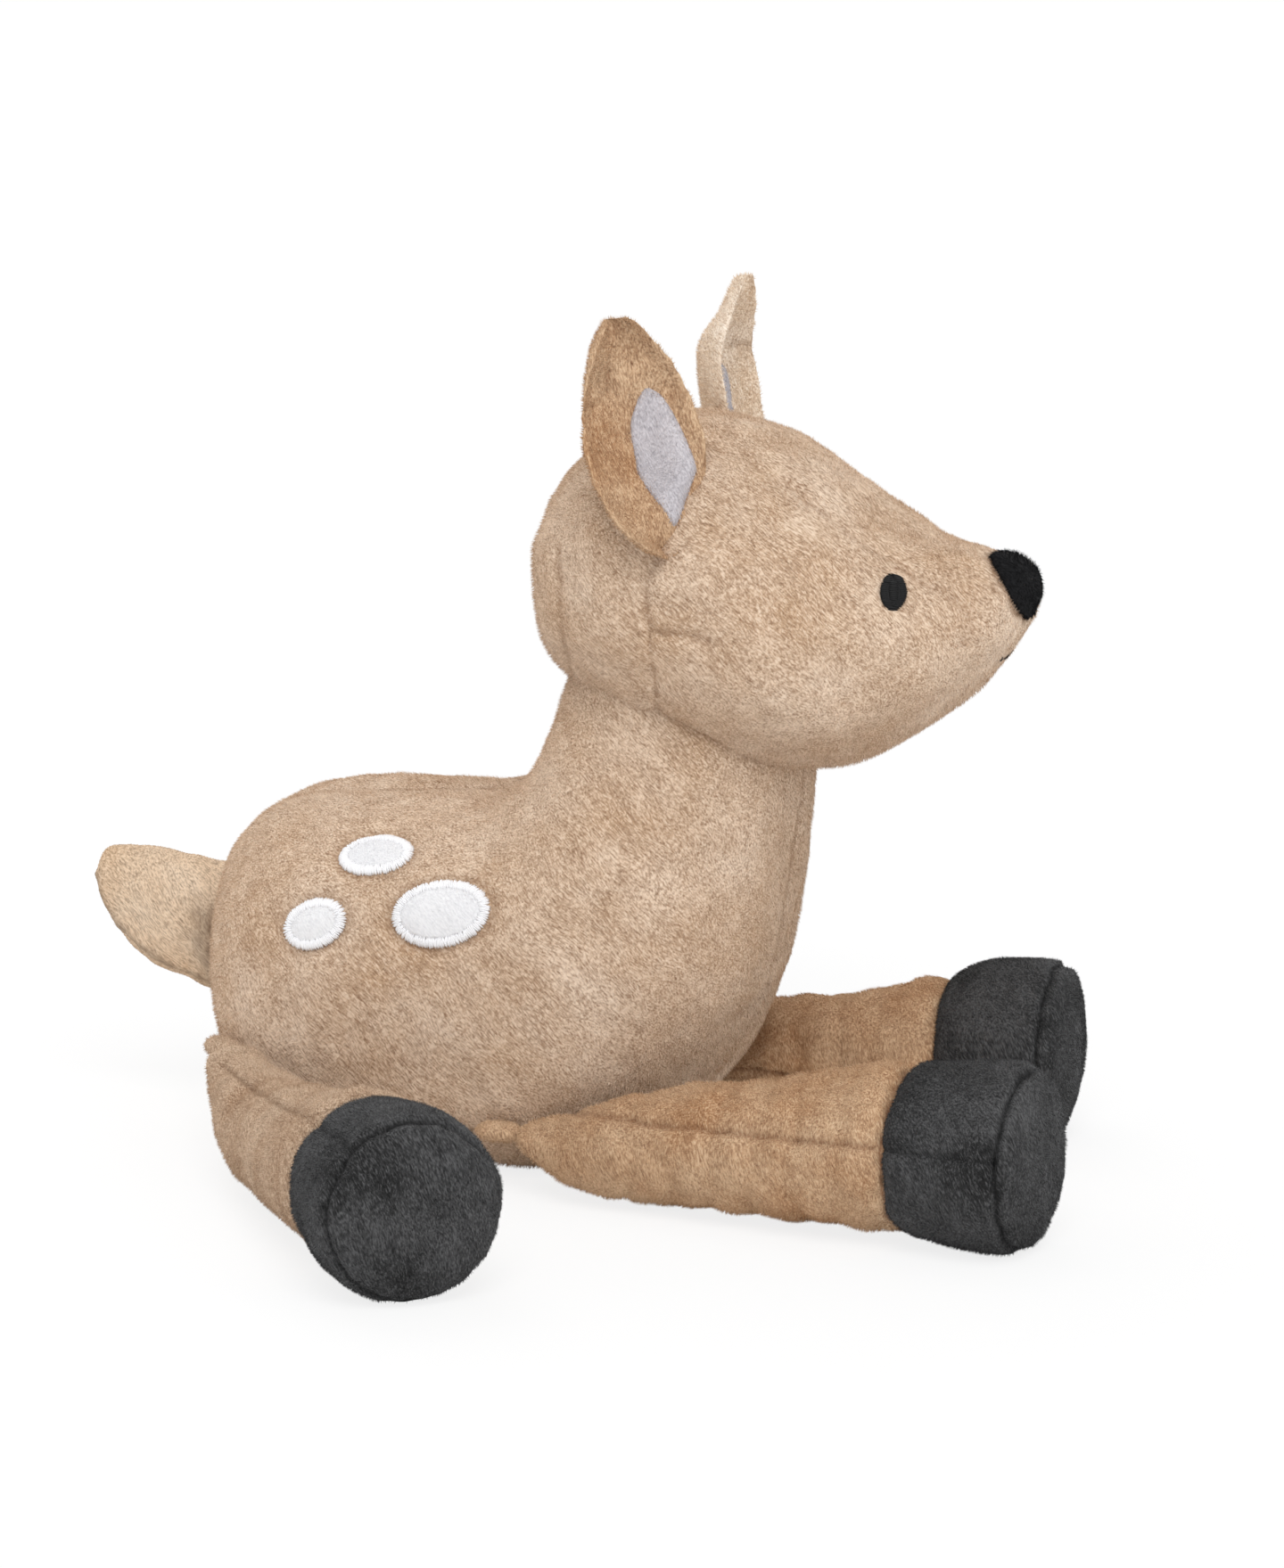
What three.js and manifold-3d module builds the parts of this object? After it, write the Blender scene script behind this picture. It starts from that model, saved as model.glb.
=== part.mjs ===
// A sitting plush deer. X points where the deer looks, Y to its left, Z up, in millimetres.
// The origin lies on the table under the middle of the body.
// Body and head are sewn covers over a loose filling. Four legs, two ears and a tail hang on fabric hinges.
import * as THREE from "three";
import { mergeVertices } from "three/addons/utils/BufferGeometryUtils.js";
import Module from "manifold-3d";

const wasm = await Module();
wasm.setup();

// Cloth and sewing
const clothThickness = 2.2;
const seamGap = 0.3;
const patchThickness = 0.9;
const satinThickness = 1.5;
const satinWidth = 3;
const threadWidth = 0.9;
const cutOverrun = 40;

// Body
const bodyLength = 136;
const backHeight = 89;
const bodyWidth = 98;
const neckReach = 52;
const neckLength = 58;
const neckTop = 130.5;
const neckWidth = 62;
const baseSeamHeight = 12;

// Head
const headLength = 123;
const headHeight = 84;
const headWidth = 92;
const headReach = 52;
const headLift = 111.5;
const crownWidth = 40;

// Eyes and mouth
const eyeWidth = 6.4;
const eyeHeight = 8.4;
const mouthWidth = 9;
const mouthDrop = 2.4;

// White spots on each flank, from the largest to the smallest
const spotLengths = [25.4, 19.6, 17.4];
const spotHeights = [17, 13, 12.8];

// Ears
const earLength = 47;
const earWidth = 35;
const earThickness = 4.8;
const earCup = 6.5;
const farEarCup = 9;
const earBow = 4;
const earLean = 7;
const earFlap = 12;

// Tail
const tailLength = 40;
const tailHeight = 35;
const tailThickness = 15;
const tailLift = 46.5;
const tailWag = 25;

// Legs
const sleeveLength = 101.5;
const hoofLength = 29;
const soleBulge = 5;
const hoofDiameter = 46;
const ankleDiameter = 41;
const sleeveClearance = 1.9;
const hipWidth = 13;
const hipThickness = 5;
const tabRadius = 4;
const tabThickness = 2.4;
const tabGap = 0.6;
const groundFlat = 0.5;

// Fineness of the surfaces
const bodySides = 26;
const legSides = 16;
const earSides = 14;
const patchSides = 24;
const flapSteps = 4;

const colours = {
  tan: new THREE.MeshStandardMaterial({ color: 0xc3a083, roughness: 0.95, metalness: 0 }),
  white: new THREE.MeshStandardMaterial({ color: 0xf1f1f4, roughness: 0.95, metalness: 0 }),
  grey: new THREE.MeshStandardMaterial({ color: 0x4a4b4d, roughness: 0.95, metalness: 0 }),
  black: new THREE.MeshStandardMaterial({ color: 0x141416, roughness: 0.85, metalness: 0 }),
  fibre: new THREE.MeshStandardMaterial({ color: 0xf6f5f0, roughness: 1, metalness: 0 }),
};

// Shapes

// A closed surface through rings of points, with a pole or a flat fan at each end.
function loft(rings, startPole, endPole) {
  const sides = rings[0].length;
  const points = [startPole, ...rings.flat(), endPole];
  const last = points.length - 1;
  const at = (ring, side) => 1 + ring * sides + (side % sides);
  const faces = [];
  for (let side = 0; side < sides; side++) {
    faces.push(0, at(0, side + 1), at(0, side));
    faces.push(last, at(rings.length - 1, side), at(rings.length - 1, side + 1));
    for (let ring = 0; ring + 1 < rings.length; ring++) {
      faces.push(at(ring, side), at(ring, side + 1), at(ring + 1, side));
      faces.push(at(ring, side + 1), at(ring + 1, side + 1), at(ring + 1, side));
    }
  }
  const geometry = new THREE.BufferGeometry().setFromPoints(points);
  geometry.setIndex(faces);
  return geometry;
}

// A rounded section between two rail points, half as wide as halfWidth. A squareness of 2 is an ellipse, and the
// lower half can have its own.
function section(top, bottom, halfWidth, sides, squareness, lowerSquareness = squareness) {
  const middle = top.clone().add(bottom).multiplyScalar(1 / 2);
  const rise = top.clone().sub(bottom).multiplyScalar(1 / 2);
  return Array.from({ length: sides }, (_, side) => {
    const turn = (2 * Math.PI * side) / sides;
    const power = 2 / (Math.cos(turn) < 0 ? lowerSquareness : squareness);
    const bend = (value) => Math.sign(value) * Math.pow(Math.abs(value), power);
    const point = middle.clone().addScaledVector(rise, bend(Math.cos(turn)));
    point.y -= halfWidth * bend(Math.sin(turn));
    return point;
  });
}

// Moves each point of a closed surface out along its normal.
function inflated(geometry, distance) {
  const swollen = geometry.clone();
  swollen.computeVertexNormals();
  const position = swollen.getAttribute("position");
  const normal = swollen.getAttribute("normal");
  for (let i = 0; i < position.count; i++) {
    position.setXYZ(
      i,
      position.getX(i) + distance * normal.getX(i),
      position.getY(i) + distance * normal.getY(i),
      position.getZ(i) + distance * normal.getZ(i),
    );
  }
  return swollen;
}

function solidOf(geometry) {
  const bare = geometry.clone();
  bare.deleteAttribute("normal");
  bare.deleteAttribute("uv");
  const merged = mergeVertices(bare);
  return new wasm.Manifold(
    new wasm.Mesh({
      numProp: 3,
      vertProperties: merged.getAttribute("position").array,
      triVerts: new Uint32Array(merged.index.array),
    }),
  );
}

function geometryOf(solid) {
  const { vertProperties, triVerts, numProp, numVert } = solid.getMesh();
  const position = new Float32Array(numVert * 3);
  for (let i = 0; i < numVert; i++) {
    position.set(vertProperties.subarray(i * numProp, i * numProp + 3), i * 3);
  }
  const geometry = new THREE.BufferGeometry();
  geometry.setAttribute("position", new THREE.BufferAttribute(position, 3));
  geometry.setIndex(new THREE.BufferAttribute(triVerts, 1));
  return geometry;
}

// A block between two corners, as a solid for cutting.
function block(low, high) {
  const size = high.clone().sub(low);
  const box = new THREE.BoxGeometry(size.x, size.y, size.z);
  box.translate((low.x + high.x) / 2, (low.y + high.y) / 2, (low.z + high.z) / 2);
  return solidOf(box);
}

function mesh(name, solid, material) {
  const made = new THREE.Mesh(solid.isBufferGeometry ? solid : geometryOf(solid), material);
  made.name = name;
  return made;
}

// The reach of every cutting block, past the whole deer.
const far = bodyLength + headLength + cutOverrun;
const above = (height) => block(new THREE.Vector3(-far, -far, height), new THREE.Vector3(far, far, far));
const leftOf = (y) => block(new THREE.Vector3(-far, y, -far), new THREE.Vector3(far, far, far));
const rightOf = (y) => block(new THREE.Vector3(-far, -far, -far), new THREE.Vector3(far, y, far));

// Body

// Torso stations from the rump to the chest, then up the neck. Torso shares are of the body's length and
// back height. The last four are of the neck's length, before and behind its middle, and of its top.
const torsoShares = [
  { top: [-0.497, 0.74], bottom: [-0.486, 0.28], width: 0.42 },
  { top: [-0.47, 0.85], bottom: [-0.458, 0.11], width: 0.65 },
  { top: [-0.41, 0.93], bottom: [-0.4, 0.01], width: 0.83 },
  { top: [-0.286, 0.974], bottom: [-0.3, -0.018], width: 0.95 },
  { top: [-0.143, 0.996], bottom: [-0.143, -0.018], width: 1 },
  { top: [-0.014, 1.004], bottom: [0.029, -0.018], width: 1 },
  { top: [0.05, 1.028], bottom: [0.2, -0.018], width: 0.98 },
  { top: [0.093, 1.078], bottom: [0.343, 0.075], width: 0.94 },
  { top: [0.121, 1.139], bottom: [0.443, 0.25], width: 0.87 },
];
const neckShares = [
  { top: [-0.543, 0.85], bottom: [0.362, 0.36], width: 1.24 },
  { top: [-0.517, 0.9], bottom: [0.448, 0.56], width: 1.1 },
  { top: [-0.48, 0.955], bottom: [0.5, 0.76], width: 1.02 },
  { top: [-0.43, 1.01], bottom: [0.53, 0.94], width: 0.97 },
];
const rumpShares = [-0.503, 0.53];
const bodySquareness = 2.4;
const seatSquareness = 3.2;
const seatShare = 0.05;

function bodyStations() {
  const torso = torsoShares.map(({ top, bottom, width }) => ({
    top: new THREE.Vector3(top[0] * bodyLength, 0, top[1] * backHeight),
    bottom: new THREE.Vector3(bottom[0] * bodyLength, 0, bottom[1] * backHeight),
    halfWidth: (width * bodyWidth) / 2,
    seat: bottom[1] < seatShare ? seatSquareness : bodySquareness,
  }));
  const neck = neckShares.map(({ top, bottom, width }) => ({
    top: new THREE.Vector3(neckReach + top[0] * neckLength, 0, top[1] * neckTop),
    bottom: new THREE.Vector3(neckReach + bottom[0] * neckLength, 0, bottom[1] * neckTop),
    halfWidth: (width * neckWidth) / 2,
    seat: bodySquareness,
  }));
  return [...torso, ...neck];
}

const stations = bodyStations();
const rump = new THREE.Vector3(rumpShares[0] * bodyLength, 0, rumpShares[1] * backHeight);
const neckEnd = stations[stations.length - 1];
const bodySurface = loft(
  stations.map((s) => section(s.top, s.bottom, s.halfWidth, bodySides, bodySquareness, s.seat)),
  rump,
  neckEnd.top.clone().add(neckEnd.bottom).multiplyScalar(1 / 2),
);

// Head

// Head stations from the back of the head to the nose, as shares of its length and height from the neck's middle.
const headShares = [
  { top: [-0.283, 0.53], bottom: [-0.281, 0.33], width: 0.3 },
  { top: [-0.265, 0.645], bottom: [-0.255, 0.19], width: 0.56 },
  { top: [-0.208, 0.765], bottom: [-0.195, 0.085], width: 0.77 },
  { top: [-0.1, 0.865], bottom: [-0.075, 0.01], width: 0.94 },
  { top: [0.035, 0.897], bottom: [0.06, -0.055], width: 1 },
  { top: [0.17, 0.852], bottom: [0.18, -0.108], width: 0.985 },
  { top: [0.295, 0.748], bottom: [0.305, -0.102], width: 0.91 },
  { top: [0.42, 0.628], bottom: [0.415, -0.052], width: 0.78 },
  { top: [0.515, 0.566], bottom: [0.51, 0.035], width: 0.64 },
  { top: [0.6, 0.545], bottom: [0.59, 0.145], width: 0.49 },
  { top: [0.655, 0.528], bottom: [0.65, 0.24], width: 0.37 },
  { top: [0.692, 0.492], bottom: [0.69, 0.325], width: 0.24 },
];
const occiputShares = [-0.287, 0.43];
const noseTipShares = [0.708, 0.415];
const headSquareness = 2.15;
const headPoint = (shares) =>
  new THREE.Vector3(headReach + shares[0] * headLength, 0, headLift + shares[1] * headHeight);

const headSurface = loft(
  headShares.map((s) =>
    section(headPoint(s.top), headPoint(s.bottom), (s.width * headWidth) / 2, bodySides, headSquareness),
  ),
  headPoint(occiputShares),
  headPoint(noseTipShares),
);

const headOuter = solidOf(headSurface);
const headSpace = solidOf(inflated(headSurface, seamGap));
const headLining = solidOf(inflated(headSurface, -clothThickness));
const headFilling = solidOf(inflated(headSurface, -clothThickness - seamGap));
const headCloth = headOuter.subtract(headLining);

// The nose panel is what lies before two slanting planes that meet on the bridge and run down to the upper lip.
const bridgeShares = [0.618, 0.545];
const noseSlant = 0.61;
const noseYaw = 0.29;
function beforeNosePlane(offset) {
  const start = headPoint(bridgeShares);
  const [one, other] = [-noseYaw, noseYaw].map((yaw) => {
    const box = new THREE.BoxGeometry(far, far, far);
    box.translate(far / 2 + offset, 0, 0);
    box.rotateZ(yaw);
    box.rotateY(-noseSlant);
    box.translate(start.x, start.y, start.z);
    return solidOf(box);
  });
  return one.intersect(other);
}

// The crown gusset runs from the nose over the crown and down the back of the head.
const crownFloorShares = [0.035, 0.3];
const crownBand = leftOf(-crownWidth / 2)
  .intersect(rightOf(crownWidth / 2))
  .intersect(above(headPoint(crownFloorShares).z));
const crownBandOuter = leftOf(-crownWidth / 2 - seamGap)
  .intersect(rightOf(crownWidth / 2 + seamGap))
  .intersect(above(headPoint(crownFloorShares).z - seamGap));
const nosePanel = headCloth.intersect(beforeNosePlane(0));
const coveredHead = headCloth.subtract(beforeNosePlane(-seamGap));
const crownGusset = coveredHead.intersect(crownBand);
const headSides = coveredHead.subtract(crownBandOuter);

// Bodies cut by the head and by the table
const floorCut = above(0);
const bodyOuter = solidOf(bodySurface).intersect(floorCut);
const bodyLining = solidOf(inflated(bodySurface, -clothThickness)).intersect(above(clothThickness));
const bodyFilling = solidOf(inflated(bodySurface, -clothThickness - seamGap)).intersect(
  above(clothThickness + seamGap),
);
const bodyCloth = bodyOuter.subtract(bodyLining).subtract(headSpace);
const bodySpace = solidOf(inflated(bodySurface, seamGap));

// Stitched-on pieces

// A closed elliptic prism along its z axis, with its middle in the origin.
function ellipsePrism(width, height, depth) {
  const outline = new THREE.Shape();
  outline.absellipse(0, 0, width / 2, height / 2, 0, 2 * Math.PI);
  const prism = new THREE.ExtrudeGeometry(outline, { depth, bevelEnabled: false, curveSegments: patchSides / 4 });
  prism.translate(0, 0, -depth / 2);
  return prism;
}

// Turns a shape made along z so that it looks along a direction, tilted about it, and moves it to a place.
function aimed(geometry, place, direction, tilt) {
  const ahead = direction.clone().normalize();
  const up = new THREE.Vector3(0, 0, 1);
  const across = new THREE.Vector3().crossVectors(up, ahead).normalize();
  const rise = new THREE.Vector3().crossVectors(ahead, across);
  const turned = geometry.clone().rotateZ(tilt);
  turned.applyMatrix4(new THREE.Matrix4().makeBasis(across, rise, ahead).setPosition(place));
  return turned;
}

// What a prism cuts out of the skin that lies on a surface, from one height above it to another.
function skinPiece(surface, prism, from, to) {
  return solidOf(inflated(surface, to))
    .subtract(solidOf(inflated(surface, from)))
    .intersect(prism);
}

function mirrored(geometry) {
  const other = geometry.clone().scale(1, -1, 1);
  const index = other.index;
  for (let i = 0; i < index.count; i += 3) {
    const kept = index.getX(i);
    index.setX(i, index.getX(i + 1));
    index.setX(i + 1, kept);
  }
  return other;
}

// Spot places are shares of the body's length, width and back height. Each looks along its own direction.
const spotShares = [
  { place: [0.02, -0.428, 0.742], looks: [0, -0.9, 0.43], tilt: 0.2 },
  { place: [-0.133, -0.327, 0.843], looks: [0, -0.68, 0.73], tilt: 0.08 },
  { place: [-0.222, -0.445, 0.691], looks: [-0.15, -0.93, 0.35], tilt: 0.17 },
];
const prismDepth = bodyWidth / 3;
const rightSpots = spotShares.map(({ place, looks, tilt }, i) => {
  const at = new THREE.Vector3(place[0] * bodyLength, place[1] * bodyWidth, place[2] * backHeight);
  const prism = (margin) =>
    solidOf(
      aimed(
        ellipsePrism(spotLengths[i] - margin, spotHeights[i] - margin, prismDepth),
        at,
        new THREE.Vector3(...looks),
        tilt,
      ),
    );
  const inside = prism(2 * satinWidth);
  return {
    patch: skinPiece(bodySurface, inside, seamGap, seamGap + patchThickness),
    satin: skinPiece(
      bodySurface,
      prism(0).subtract(prism(2 * satinWidth - 2 * seamGap)),
      seamGap,
      seamGap + satinThickness,
    ),
  };
});

const eyeShares = { place: [0.484, -0.28, 0.465], looks: [0.3, -0.95, 0.1] };
const rightEye = skinPiece(
  headSurface,
  solidOf(
    aimed(
      ellipsePrism(eyeWidth, eyeHeight, headWidth / 3),
      headPoint([eyeShares.place[0], eyeShares.place[2]]).setY(eyeShares.place[1] * headWidth),
      new THREE.Vector3(...eyeShares.looks),
      0,
    ),
  ),
  seamGap,
  seamGap + patchThickness,
);

// The mouth is one thread line that smiles round the front of the muzzle.
const mouthShares = [0.64, 0.245];
function mouthPrism() {
  const line = new THREE.Shape();
  const steps = 6;
  const edge = (side, i) => {
    const across = (mouthWidth * (2 * i - steps)) / (2 * steps);
    const rise = mouthDrop * Math.pow((2 * i - steps) / steps, 2) - mouthDrop / 2;
    return new THREE.Vector2(across, rise + (side * threadWidth) / 2);
  };
  const lower = Array.from({ length: steps + 1 }, (_, i) => edge(-1, i));
  const upper = Array.from({ length: steps + 1 }, (_, i) => edge(1, steps - i));
  line.setFromPoints([...lower, ...upper]);
  const prism = new THREE.ExtrudeGeometry(line, { depth: headLength / 3, bevelEnabled: false });
  prism.translate(0, 0, -headLength / 6);
  return solidOf(aimed(prism, headPoint(mouthShares), new THREE.Vector3(0.8, 0, -0.6), 0));
}
const mouth = skinPiece(headSurface, mouthPrism(), seamGap, seamGap + threadWidth);

// Fabric hinges

// Cuts a hanging piece back from its neighbour at every step of its swing, so that it never rubs.
function clearedFor(piece, neighbour, pivot, axis, fromDegrees, toDegrees, steps) {
  let cleared = piece;
  for (let step = 0; step <= steps; step++) {
    const angle = THREE.MathUtils.degToRad(fromDegrees + ((toDegrees - fromDegrees) * step) / steps);
    const swung = neighbour.clone();
    swung.translate(-pivot.x, -pivot.y, -pivot.z);
    swung.applyMatrix4(new THREE.Matrix4().makeRotationAxis(axis, -angle));
    swung.translate(pivot.x, pivot.y, pivot.z);
    cleared = cleared.subtract(solidOf(swung));
  }
  return cleared;
}

// The largest of the bodies that a cut leaves.
function largest(solid) {
  return solid.decompose().reduce((best, one) => (one.volume() > best.volume() ? one : best));
}

// Ears

// A cupped leaf. Stations run from inside the head to the tip: share of the length, then of the width forwards
// and backwards of the middle line, and of the thickness.
const earShares = [
  [-0.42, 0.1, 0.14, 1],
  [-0.3, 0.16, 0.27, 1],
  [-0.16, 0.22, 0.44, 1],
  [0, 0.27, 0.59, 1],
  [0.13, 0.29, 0.65, 1],
  [0.3, 0.31, 0.66, 1],
  [0.5, 0.31, 0.61, 1],
  [0.68, 0.27, 0.53, 0.95],
  [0.82, 0.19, 0.44, 0.85],
  [0.93, 0.08, 0.31, 0.7],
];
const earTipShares = [1, -0.1];
// The foot stands forward of the leaf, and has swung back in by this share of the length.
const earFootEnd = 0.45;

// Each ear as its right-hand form. The far one is set a little further back and opens more to the front.
const earForms = {
  right: { root: [0.076, -0.31, 0.692], rise: [-0.318, -0.114, 0.942], faces: [0.68, -0.7, 0.2], cup: earCup },
  left: { root: [0.011, -0.31, 0.692], rise: [-0.153, -0.12, 0.98], faces: [0.97, -0.15, 0.2], cup: farEarCup },
};

function earSurface(cup) {
  const rings = earShares.map(([along, ahead, behind, thick]) => {
    const middle = ((ahead - behind) * earWidth) / 2;
    const half = ((ahead + behind) * earWidth) / 2;
    const swung = THREE.MathUtils.smoothstep(along, 0, earFootEnd);
    return Array.from({ length: earSides }, (_, side) => {
      const turn = (2 * Math.PI * side) / earSides;
      const across = Math.cos(turn);
      const bow = 4 * earBow * Math.max(along, 0) * (1 - along) - earLean * (1 - swung);
      const depth = (Math.sin(turn) * thick * earThickness) / 2 - cup * across * across + bow;
      return new THREE.Vector3(middle + half * across, depth, along * earLength);
    });
  });
  const root = new THREE.Vector3(0, -cup / 3 - earLean, earShares[0][0] * earLength);
  const tip = new THREE.Vector3(earTipShares[1] * earWidth, -cup / 6, earTipShares[0] * earLength);
  return loft(rings, root, tip);
}

const earAxis = new THREE.Vector3(0.09, 0.69, 0.72).normalize();
const headKeepOut = inflated(headSurface, seamGap);

// The pale lining is a smaller leaf on the ear's front.
const liningShares = [
  [0.015, 0.61], [0.075, 0.55], [0.105, 0.46], [0.1, 0.33], [0.085, 0.22], [0.09, 0.155], [-0.09, 0.03],
  [-0.245, -0.045], [-0.3, 0.08], [-0.335, 0.17], [-0.305, 0.26], [-0.225, 0.39], [-0.16, 0.51], [-0.07, 0.595],
];
const liningOutline = new THREE.Shape(
  liningShares.map(([across, along]) => new THREE.Vector2(across * earWidth, along * earLength)),
);

function earPieces({ root, rise, faces, cup }) {
  const foot = headPoint([root[0], root[2]]).setY(root[1] * headWidth);
  const up = new THREE.Vector3(...rise).normalize();
  const across = new THREE.Vector3().crossVectors(up, new THREE.Vector3(...faces)).normalize();
  const frame = new THREE.Matrix4()
    .makeBasis(across, new THREE.Vector3().crossVectors(up, across), up)
    .setPosition(foot);
  const surface = earSurface(cup).applyMatrix4(frame);
  const cleared = (solid) =>
    largest(clearedFor(solid, headKeepOut, foot, earAxis, -earFlap, earFlap, flapSteps));
  const prism = new THREE.ExtrudeGeometry(liningOutline, { depth: earWidth, bevelEnabled: false });
  prism.rotateX(Math.PI / 2);
  prism.translate(0, -cup / 6, 0);
  prism.applyMatrix4(frame);
  return {
    ear: cleared(solidOf(surface)),
    lining: cleared(largest(skinPiece(surface, solidOf(prism), seamGap, seamGap + patchThickness))),
  };
}
const rightEar = earPieces(earForms.right);
const leftEar = earPieces(earForms.left);

// Tail

// Stations from the root to the tip: share of the length back from the rump, then of the height over and
// under the tail's middle, and of the thickness.
const tailShares = [
  [-0.1, 0.49, -0.5, 0.62],
  [0.12, 0.51, -0.47, 0.8],
  [0.32, 0.55, -0.38, 0.98],
  [0.52, 0.57, -0.33, 1],
  [0.72, 0.58, -0.22, 0.86],
  [0.88, 0.56, -0.04, 0.6],
  [0.97, 0.51, 0.26, 0.36],
];
const tailTipShares = [1, 0.4];
const tailRoot = new THREE.Vector3(rumpShares[0] * bodyLength, 0, tailLift);
const tailPoint = (along, over) =>
  new THREE.Vector3(tailRoot.x - along * tailLength, 0, tailLift + over * tailHeight);
const tailSurface = loft(
  tailShares.map(([along, over, under, thick]) =>
    section(tailPoint(along, under), tailPoint(along, over), (thick * tailThickness) / 2, legSides, 2),
  ),
  tailPoint(tailShares[0][0], 0),
  tailPoint(...tailTipShares),
);
const bodyKeepOut = inflated(bodySurface, seamGap);
const tail = largest(
  clearedFor(solidOf(tailSurface), bodyKeepOut, tailRoot, new THREE.Vector3(0, 0, 1), -tailWag, tailWag, flapSteps),
);

// Legs

// Stations of a sleeve from the hip to the ankle: share of its length, then of the ankle's diameter in height
// and width, and how far its middle has come down from the hip to where the sleeve lies on the table.
const sleeveShares = [
  [0.012, 0.09, 0.25, 0],
  [0.05, 0.22, 0.36, 0.12],
  [0.13, 0.42, 0.48, 0.4],
  [0.26, 0.62, 0.62, 0.8],
  [0.42, 0.73, 0.74, 1],
  [0.6, 0.81, 0.84, 1],
  [0.8, 0.91, 0.93, 1],
  [1, 1, 1, 1],
];
const hoofShares = [
  [0, 0.875],
  [0.25, 0.94],
  [0.6, 1],
  [0.9, 0.995],
  [1, 0.97],
];
const soleShares = [
  [0, 0.965],
  [0.2, 0.97],
  [0.5, 0.86],
  [0.78, 0.62],
  [0.94, 0.33],
];

// One round station square to the leg, at a distance from the hip.
function legSection(along, middle, halfHeight, halfWidth) {
  return section(
    new THREE.Vector3(along, 0, middle + halfHeight),
    new THREE.Vector3(along, 0, middle - halfHeight),
    halfWidth,
    legSides,
    2,
  );
}

// A whole leg along x from its hip in the origin, with z as its height over the table.
function legPieces(hipHeight) {
  const hoofMiddle = hoofDiameter / 2 - groundFlat;
  const start = tabRadius + tabGap;
  const sleeve = loft(
    sleeveShares.map(([along, height, width, fall], i) => {
      const halfHeight = (i ? Math.max(height * ankleDiameter, hipThickness) : hipThickness / 2) / 2;
      return legSection(
        start + along * sleeveLength,
        hipHeight + (halfHeight + sleeveClearance - hipHeight) * fall,
        halfHeight,
        Math.max(width * ankleDiameter, hipWidth) / 2,
      );
    }),
    new THREE.Vector3(start, 0, hipHeight),
    new THREE.Vector3(start + sleeveLength, 0, hoofMiddle),
  );
  const cuff = start + sleeveLength + seamGap;
  const hoof = loft(
    hoofShares.map(([along, size]) =>
      legSection(cuff + along * hoofLength, hoofMiddle, (size * hoofDiameter) / 2, (size * hoofDiameter) / 2),
    ),
    new THREE.Vector3(cuff, 0, hoofMiddle),
    new THREE.Vector3(cuff + hoofLength, 0, hoofMiddle),
  );
  const base = cuff + hoofLength + seamGap;
  const sole = loft(
    soleShares.map(([along, size]) =>
      legSection(base + along * soleBulge, hoofMiddle, (size * hoofDiameter) / 2, (size * hoofDiameter) / 2),
    ),
    new THREE.Vector3(base, 0, hoofMiddle),
    new THREE.Vector3(base + soleBulge, 0, hoofMiddle),
  );
  const disc = new THREE.CylinderGeometry(tabRadius, tabRadius, tabThickness, legSides);
  disc.rotateX(Math.PI / 2);
  disc.translate(0, 0, hipHeight);
  return { sleeve, hoof, sole, disc };
}

// Hips as shares of the body's length and back height, on the side that the sign tells. The last two are in
// degrees: where the leg points, and how far it lifts.
const hips = [
  { name: "front_right", shares: [0.15, 0.17], side: -1, yaw: -3, lift: 30 },
  { name: "front_left", shares: [-0.02, 0.17], side: 1, yaw: -4, lift: 30 },
  { name: "rear_right", shares: [-0.39, 0.32], side: -1, yaw: -48, lift: 50 },
  { name: "rear_left", shares: [-0.39, 0.32], side: 1, yaw: 78, lift: 50 },
];

// Where a tab's middle sits so that its edge just clears the cover.
function hipBeside(shares, side) {
  const from = new THREE.Vector3(shares[0] * bodyLength, side * far, shares[1] * backHeight);
  const target = new THREE.Mesh(bodySurface, new THREE.MeshBasicMaterial({ side: THREE.DoubleSide }));
  const [hit] = new THREE.Raycaster(from, new THREE.Vector3(0, -side, 0)).intersectObject(target);
  const outward = hit.face.normal.clone().setZ(0);
  const overhang = ((tabThickness / 2) * Math.abs(hit.face.normal.z)) / outward.length();
  return hit.point.clone().addScaledVector(outward.normalize(), tabRadius + overhang + 2 * seamGap);
}

const legMeshes = hips.flatMap(({ name, shares, side, yaw, lift }) => {
  const pivot = hipBeside(shares, side);
  const place = new THREE.Matrix4()
    .makeRotationZ(THREE.MathUtils.degToRad(yaw))
    .setPosition(pivot.clone().setZ(0));
  const pieces = legPieces(pivot.z);
  const ahead = new THREE.Vector3(1, 0, 0).transformDirection(place);
  const liftAxis = new THREE.Vector3().crossVectors(ahead, new THREE.Vector3(0, 0, 1));
  const cut = (geometry) =>
    largest(clearedFor(solidOf(geometry.applyMatrix4(place)), bodyKeepOut, pivot, liftAxis, 0, lift, flapSteps));
  const grounded = (geometry) => solidOf(geometry.applyMatrix4(place)).intersect(above(0));
  return [
    mesh(`hip_tab_${name}`, solidOf(pieces.disc.applyMatrix4(place)), colours.tan),
    mesh(`leg_${name}`, cut(pieces.sleeve), colours.tan),
    mesh(`hoof_${name}`, grounded(pieces.hoof), colours.grey),
    mesh(`sole_${name}`, grounded(pieces.sole), colours.grey),
  ];
});

// The deer

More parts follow.
